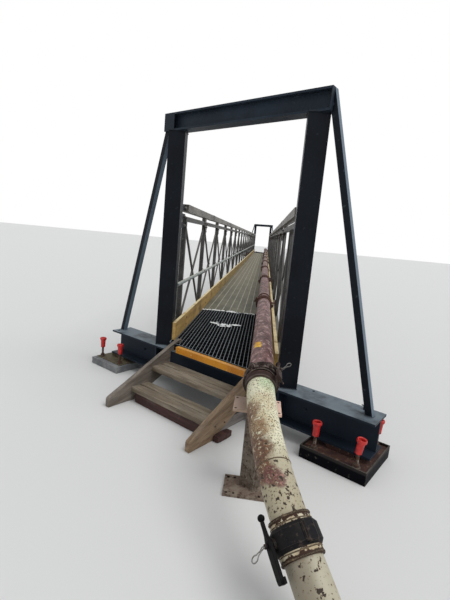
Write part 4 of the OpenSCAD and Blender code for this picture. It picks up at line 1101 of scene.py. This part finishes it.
def makeRunClamps():
    v, b, lugs, hoops = clampValues, bridge, Shape(), Shape()
    chance = random.Random(v["seed"])
    for i in range(v["first"], v["last"] + 1):
        place = at(b["pipeX"], portalY - b["firstJoint"] + i * b["pipeLength"], b["pipeHeight"])
        clampDetail(lugs, place, chance.choice(v["turns"]))
    lugs.piece("runClampLugs", "runRing", bevel=0.002)
    r, drop = b["pipeRadius"] + 0.006, Vector((0, 0, -v["hoopDrop"]))
    for i in range(b["bays"] + 1):
        # two hoops over the pipe at each bracket
        for dy in (-v["hoopHalf"], v["hoopHalf"]):
            y = portalY + b["endGap"] + i * b["bayLength"] + dy
            arc = [Vector((b["pipeX"] + r * math.cos(a), y, b["pipeHeight"] + r * math.sin(a)))
                   for a in (math.radians(t) for t in range(-10, 191, 10))]
            hoops.tube([arc[0] + drop] + arc + [arc[-1] + drop], v["hoopRadius"], 8)
    hoops.piece("pipeHoops", "bracketRust")


makeRunClamps()

# the post coupling: raised edges, a skirt on the bend's collar, a bowed latch bar with cast lumps and its bent
# tail, crumbs of rust and mortar

postClamp = dict(ringEdges=((0.038, 0.0045), (-0.036, 0.0055)), collarEdges=((-0.06, 0.004), (-0.088, 0.004)),
                 lumps=((-36, -0.018, 0.019), (22, -0.012, 0.017), (60, -0.004, 0.020), (76, 0.0, 0.015)),
                 latch=(-34, 75), latchRadius=0.013, tail=((58, 0.004), (70, 0.012), (80, 0.016), (86, 0.028)),
                 tailRadius=0.006, crumbs=70, seed=91)


def ringPoint(place, around, radius, y):
    # around is 0 straight up and grows to the right
    a = math.radians(around)
    return place @ Vector((radius * math.sin(a), y, radius * math.cos(a)))


def makePostCoupling():
    v, shape = postClamp, Shape()
    r, c = bridge["ringRadius"], bridge["collarRadius"]
    for edges, place, radius, sway in (("ringEdges", postFrame, r - 0.001, 0.002),
                                       ("collarEdges", bendFrame, c - 0.003, 0.0015)):
        for y, size in v[edges]:
            route = [ringPoint(place, t, radius, y + sway * math.sin(t)) for t in range(0, 360, 12)]
            shape.tube(route, size, 8, closed=True)
    skirt = [(0.0845, -0.036), (0.0845, -0.088), (c - 0.001, -0.088), (c + 0.001, -0.07), (c + 0.004, -0.05),
             (0.098, -0.036)]
    shape.lathe(skirt, bendFrame @ spin(-90, "X"), 48, closed=True)
    bar = [ringPoint(postFrame, t, r + 0.010 + 0.004 * math.sin(math.radians(3 * t)), -0.016 + 0.0002 * t)
           for t in range(*v["latch"], 6)]
    shape.tube(bar, v["latchRadius"], 8, ellipse=0.6)
    for around, y, size in v["lumps"]:
        shape.lathe([(0.004, -0.03), (size, -0.027), (size, 0.024), (size * 0.6, 0.028), (0.006, 0.03)],
                    Matrix.Translation(ringPoint(postFrame, around, r + 0.006, y)) @ spin(90, "X"), 14)
    shape.tube([ringPoint(postFrame, t, r + lift, -0.03) for t, lift in v["tail"]], v["tailRadius"], 8)
    chance = random.Random(v["seed"])
    for _ in range(v["crumbs"]):
        crumb = ringPoint(postFrame, chance.uniform(-100, 100), r + 0.001, chance.uniform(-0.04, 0.04))
        size = chance.uniform(0.003, 0.008)
        turn = Matrix.Rotation(chance.uniform(0, 3), 4, Vector([chance.random() for _ in range(3)]).normalized())
        shape.box((size, size * 1.4, size * 0.8), Matrix.Translation(crumb) @ turn)
    shape.piece("postClampLatch", "postRing", bevel=0.0015)


makePostCoupling()

clipValues = dict(wire=0.0026, reach=0.040, eye=0.014, eyePlace=0.052,
                  straight=((0.0, 0.0), (0.018, 0.0), (0.034, -0.003)),
                  waved=((0.036, 0.008), (0.022, 0.005), (0.010, 0.010), (0.002, 0.006), (-0.008, 0.012)))


def wireClip(shape, ring, turn, drop, sag=0.0):
    # a hairpin of sprung wire: the straight leg lies in the trunnion, the other is waved, with a round eye
    v, local = clipValues, ring @ spin(turn, "Y")
    tip = bridge["ringRadius"] + v["reach"]

    def along(place, aside):
        out, hanging = tip + place * (1 - sag / 4), Vector((0, 0, -sag * max(place, 0)))
        return local @ Vector((-out, aside * math.sin(drop), aside * math.cos(drop))) + hanging

    eye = [along(v["eyePlace"] + v["eye"] * math.cos(math.radians(t)), v["eye"] * math.sin(math.radians(t)))
           for t in range(-150, 151, 15)]
    shape.tube([along(*p) for p in v["straight"]] + eye + [along(*p) for p in v["waved"]], v["wire"], 8)


clips = Shape()
wireClip(clips, postFrame, 142, 0.5)
wireClip(clips, frontFrame, 55, 2.2, 0.9)
clips.piece("wireClips", "pinSteel", replaces=["lever_clips"])

# the levers, which hook and swing on the rings' trunnions

leverValues = dict(thick=0.016, face=0.1175, gap=0.003, bore=0.0102, boss=0.021, knob=0.016)


def leverOutline(handle, blade):
    # half of the lever's outline from the knob's neck to the hook, then its mirror
    half = [(0.0072, handle - 0.014), (0.0066, handle - 0.03), (0.0074, 0.056), (0.0104, 0.036), (0.0188, 0.02),
            (0.0215, 0.004), (0.0228, -0.012), (0.0232, -0.04), (0.0222, 0.044 - blade), (0.0214, 0.02 - blade),
            (0.019, 0.007 - blade), (0.013, -blade)]
    return half + [(-x, y) for x, y in reversed(half)]


def makeLever(name, ring, turn, body, replaced, finish, handle=0.122, blade=0.124):
    # x stands off the ring, y runs along the pipe towards the knob
    v, local, shape = leverValues, ring @ spin(turn, "Y"), Shape()
    low, bore, boss = v["face"] + v["gap"], v["bore"], v["boss"]
    # outline x to local z, outline y to local y, carried outward along local -x
    carry = Matrix(((0, 0, -1, 0), (0, 1, 0, 0), (1, 0, 0, 0), (0, 0, 0, 1)))
    shape.prism(leverOutline(handle, blade), v["thick"], local @ at(-low, 0, 0) @ carry)
    outward = local @ at(-v["face"], 0, 0) @ spin(-90, "Y")
    hub = [(bore, 0), (boss - 0.0005, 0), (boss, 0.002), (boss, 0.0195), (boss - 0.0015, 0.0218), (bore, 0.0218)]
    shape.lathe(hub, outward, 32, closed=True)
    shape.corners((-low + 0.012, -blade, -0.0165), (-low, 0.024 - blade, 0.0165), local)
    ball = [(max(v["knob"] * math.sin(a), 0.0003), v["knob"] * math.cos(a))
            for a in (math.radians(t) for t in range(180, -1, -15))]
    shape.lathe(ball, outward @ at(0, handle, 0.010) @ spin(-90, "X"), 24)
    shape.piece(name, finish, body=body, bevel=0.0022, replaces=[replaced])


makeLever("frontLeverArm", frontFrame, 55, "front_lever", "front_lever", "leverBlack", 0.104, 0.138)
makeLever("postLeverArm", postFrame, 142, "bridge", "post_lever", "postRing")

frontCoupling = dict(lugs=(62, 242), lug=(0.028, 0.086, 0.05), lugFoot=(0.016, 0.074, 0.066),
                     rims=((0.076, 0.004), (0.0545, 0.003)))


def makeFrontCoupling():
    v, lugs, rims = frontCoupling, Shape(), Shape()
    r, c = bridge["ringRadius"], bridge["collarRadius"] - 0.001
    for around in v["lugs"]:
        # a square lug on each side, where the halves meet
        local = frontFrame @ spin(around - 90, "Y")
        lugs.box(v["lug"], local @ at(r - 0.001, 0, 0))
        lugs.box(v["lugFoot"], local @ at(r - 0.004, 0, 0))
    for side in (-1, 1):
        for y, size in v["rims"]:
            route = [frontFrame @ Vector((c * math.sin(a), side * (y + 0.0015 * math.sin(3 * a)), c * math.cos(a)))
                     for a in (math.radians(t) for t in range(0, 360, 8))]
            rims.tube(route, size, 8, closed=True)
    lugs.piece("frontRingBands", "frontRing", bevel=0.005)
    rims.piece("frontCollarRims", "collarRim")


makeFrontCoupling()

bendWeld = dict(angle=23.6, sway=0.03, size=0.0032, seed=71)


def makeBendWeld():
    v, shape = bendWeld, Shape()
    chance = random.Random(v["seed"])
    route = [bendPoint(v["angle"] + chance.uniform(-v["sway"], v["sway"]), t, bridge["pipeRadius"] + 0.0005)
             for t in range(0, 360, 6)]
    shape.tube(route, v["size"], 8, closed=True, ellipse=0.6)
    shape.piece("bendWeld", "collarRim")


makeBendWeld()

postDetail = dict(half=0.05, postY=-1.212, plate=0.014, weld=0.005, seed=81,
                  headHoles=((-0.136, -0.061), (-0.136, 0.091), (0.122, -0.061), (0.122, 0.091)), headHole=0.0078,
                  baseCorner=(-0.165, -1.342), baseX=(0.022, 0.066, 0.224, 0.268), baseY=(0.024, 0.181),
                  baseHole=0.0088)


def makePostDetail():
    v, welds, holes = postDetail, Shape(), Shape()
    chance = random.Random(v["seed"])
    centre = at(bridge["pipeX"], portalY + v["postY"], 0)
    turned = centre @ Matrix.Rotation(-bridge["skew"], 4, "Z")
    headTop = bridge["pipeHeight"] - bridge["ringRadius"] - 0.023
    for z in (v["plate"], headTop - v["plate"]):
        welds.beadRound((0, 0), (v["half"], v["half"]), z, v["weld"], turned, chance)
    welds.piece("postWelds", "postRust")
    # dark discs inside the holes of the head plate and the base plate: painted shade
    for x, y in v["headHoles"]:
        holes.lathe([(v["headHole"], headTop - 0.006), (v["headHole"], headTop - 0.002)], centre @ at(x, y, 0), 20)
    corner = portalFrame() @ at(bridge["pipeX"] + v["baseCorner"][0], v["baseCorner"][1], 0)
    for x in v["baseX"]:
        for y in v["baseY"]:
            holes.lathe([(v["baseHole"], 0.004), (v["baseHole"], 0.0095)], corner @ at(x, y, 0), 20)
    holes.piece("plateHoles", "holeShade")


makePostDetail()
print("pipeline made")

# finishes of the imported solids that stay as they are

coats = dict(
    charcoalPaint="near_base_beam far_base_beam near_columns far_columns truss_lugs transoms",
    bracePaint="near_braces far_braces", litHeaderPaint="near_header far_header near_gussets far_gussets",
    mortar="near_pad_left", trayPaint="near_pad_right far_pads", filling="near_pad_fill far_pad_fill",
    amberPaint="near_nosing far_nosing", trussSteel="truss_left truss_right", railSteel="top_rails",
    midRailSteel="mid_rail", toe="toe_boards", run="pipe_run", runRing="run_couplings far_coupling",
    bracketRust="pipe_brackets", postRing="post_coupling", bend="cream_bend", frontRing="front_coupling",
    tail="tail_pipe", postRust="pipe_post", basePlateRust="post_base_plate", salmonPaint="post_head_plate")
for finish, names in coats.items():
    for name in names.split():
        nodes[name].data.materials.clear()
        nodes[name].data.materials.append(finishes[finish].material)
print("solids painted")

# floor, light and camera

floorValues = dict(half=60, depth=0.05, colour=(0.72, 0.72, 0.71, 1), rough=0.9)
ground = Shape()
ground.corners((-floorValues["half"],) * 2 + (-floorValues["depth"],), (floorValues["half"],) * 2 + (0,))
floorMesh = bpy.data.meshes.new("paleFloor")
floorMesh.from_pydata(ground.points, [], ground.faces)
floorPiece = bpy.data.objects.new("paleFloor", floorMesh)
bpy.context.scene.collection.objects.link(floorPiece)
floorMaterial = bpy.data.materials.new("paleFloor")
floorMaterial.use_nodes = True
floorShader = floorMaterial.node_tree.nodes["Principled BSDF"]
floorShader.inputs["Base Color"].default_value = floorValues["colour"]
floorShader.inputs["Roughness"].default_value = floorValues["rough"]
floorMesh.materials.append(floorMaterial)

sky = dict(lit=((0.96, 0.98, 1.0, 1), 0.62), seen=((1, 1, 1, 1), 1.0))
world = bpy.data.worlds.new("softStudio")
bpy.context.scene.world = world
world.use_nodes = True
skyNodes, skyLinks = world.node_tree.nodes, world.node_tree.links
skyNodes.clear()
backgrounds = []
for colour, strength in sky.values():
    background = skyNodes.new("ShaderNodeBackground")
    background.inputs["Color"].default_value, background.inputs["Strength"].default_value = colour, strength
    backgrounds.append(background.outputs[0])
rays = skyNodes.new("ShaderNodeLightPath")
white = rays.outputs["Is Camera Ray"]
for ray in ("Is Glossy Ray", "Is Transmission Ray"):
    either = skyNodes.new("ShaderNodeMath")
    either.operation = "MAXIMUM"
    skyLinks.new(white, either.inputs[0])
    skyLinks.new(rays.outputs[ray], either.inputs[1])
    white = either.outputs[0]
pick = skyNodes.new("ShaderNodeMixShader")
for socket, source in zip(pick.inputs, [white] + backgrounds):
    skyLinks.new(source, socket)
skyLinks.new(pick.outputs[0], skyNodes.new("ShaderNodeOutputWorld").inputs[0])

sunValues = dict(strength=1.3, spread=35, direction=(-0.55, 0.25, -1.0))
sunLight = bpy.data.lights.new("softSun", "SUN")
sunLight.energy, sunLight.angle = sunValues["strength"], math.radians(sunValues["spread"])
sun = bpy.data.objects.new("softSun", sunLight)
sun.rotation_euler = Vector(sunValues["direction"]).to_track_quat("-Z", "Y").to_euler()
bpy.context.scene.collection.objects.link(sun)

view = dict(place=(0.3224, portalY - 3.4781, 1.5461), right=(0.990642, 0.102895, 0.089684),
            top=(-0.104912, 0.153674, 0.982540), back=(0.08731, -0.98275, 0.16303), lens=23.5, sensor=36.0,
            reach=200.0)
lens = bpy.data.cameras.new("photoView")
lens.lens, lens.sensor_width, lens.clip_end = view["lens"], view["sensor"], view["reach"]
camera = bpy.data.objects.new("photoView", lens)
camera.matrix_world = Matrix.Translation(view["place"]) @ Matrix(
    (view["right"], view["top"], view["back"])).transposed().to_4x4()
bpy.context.scene.collection.objects.link(camera)
bpy.context.scene.camera = camera
bpy.context.scene.view_settings.view_transform = "Standard"
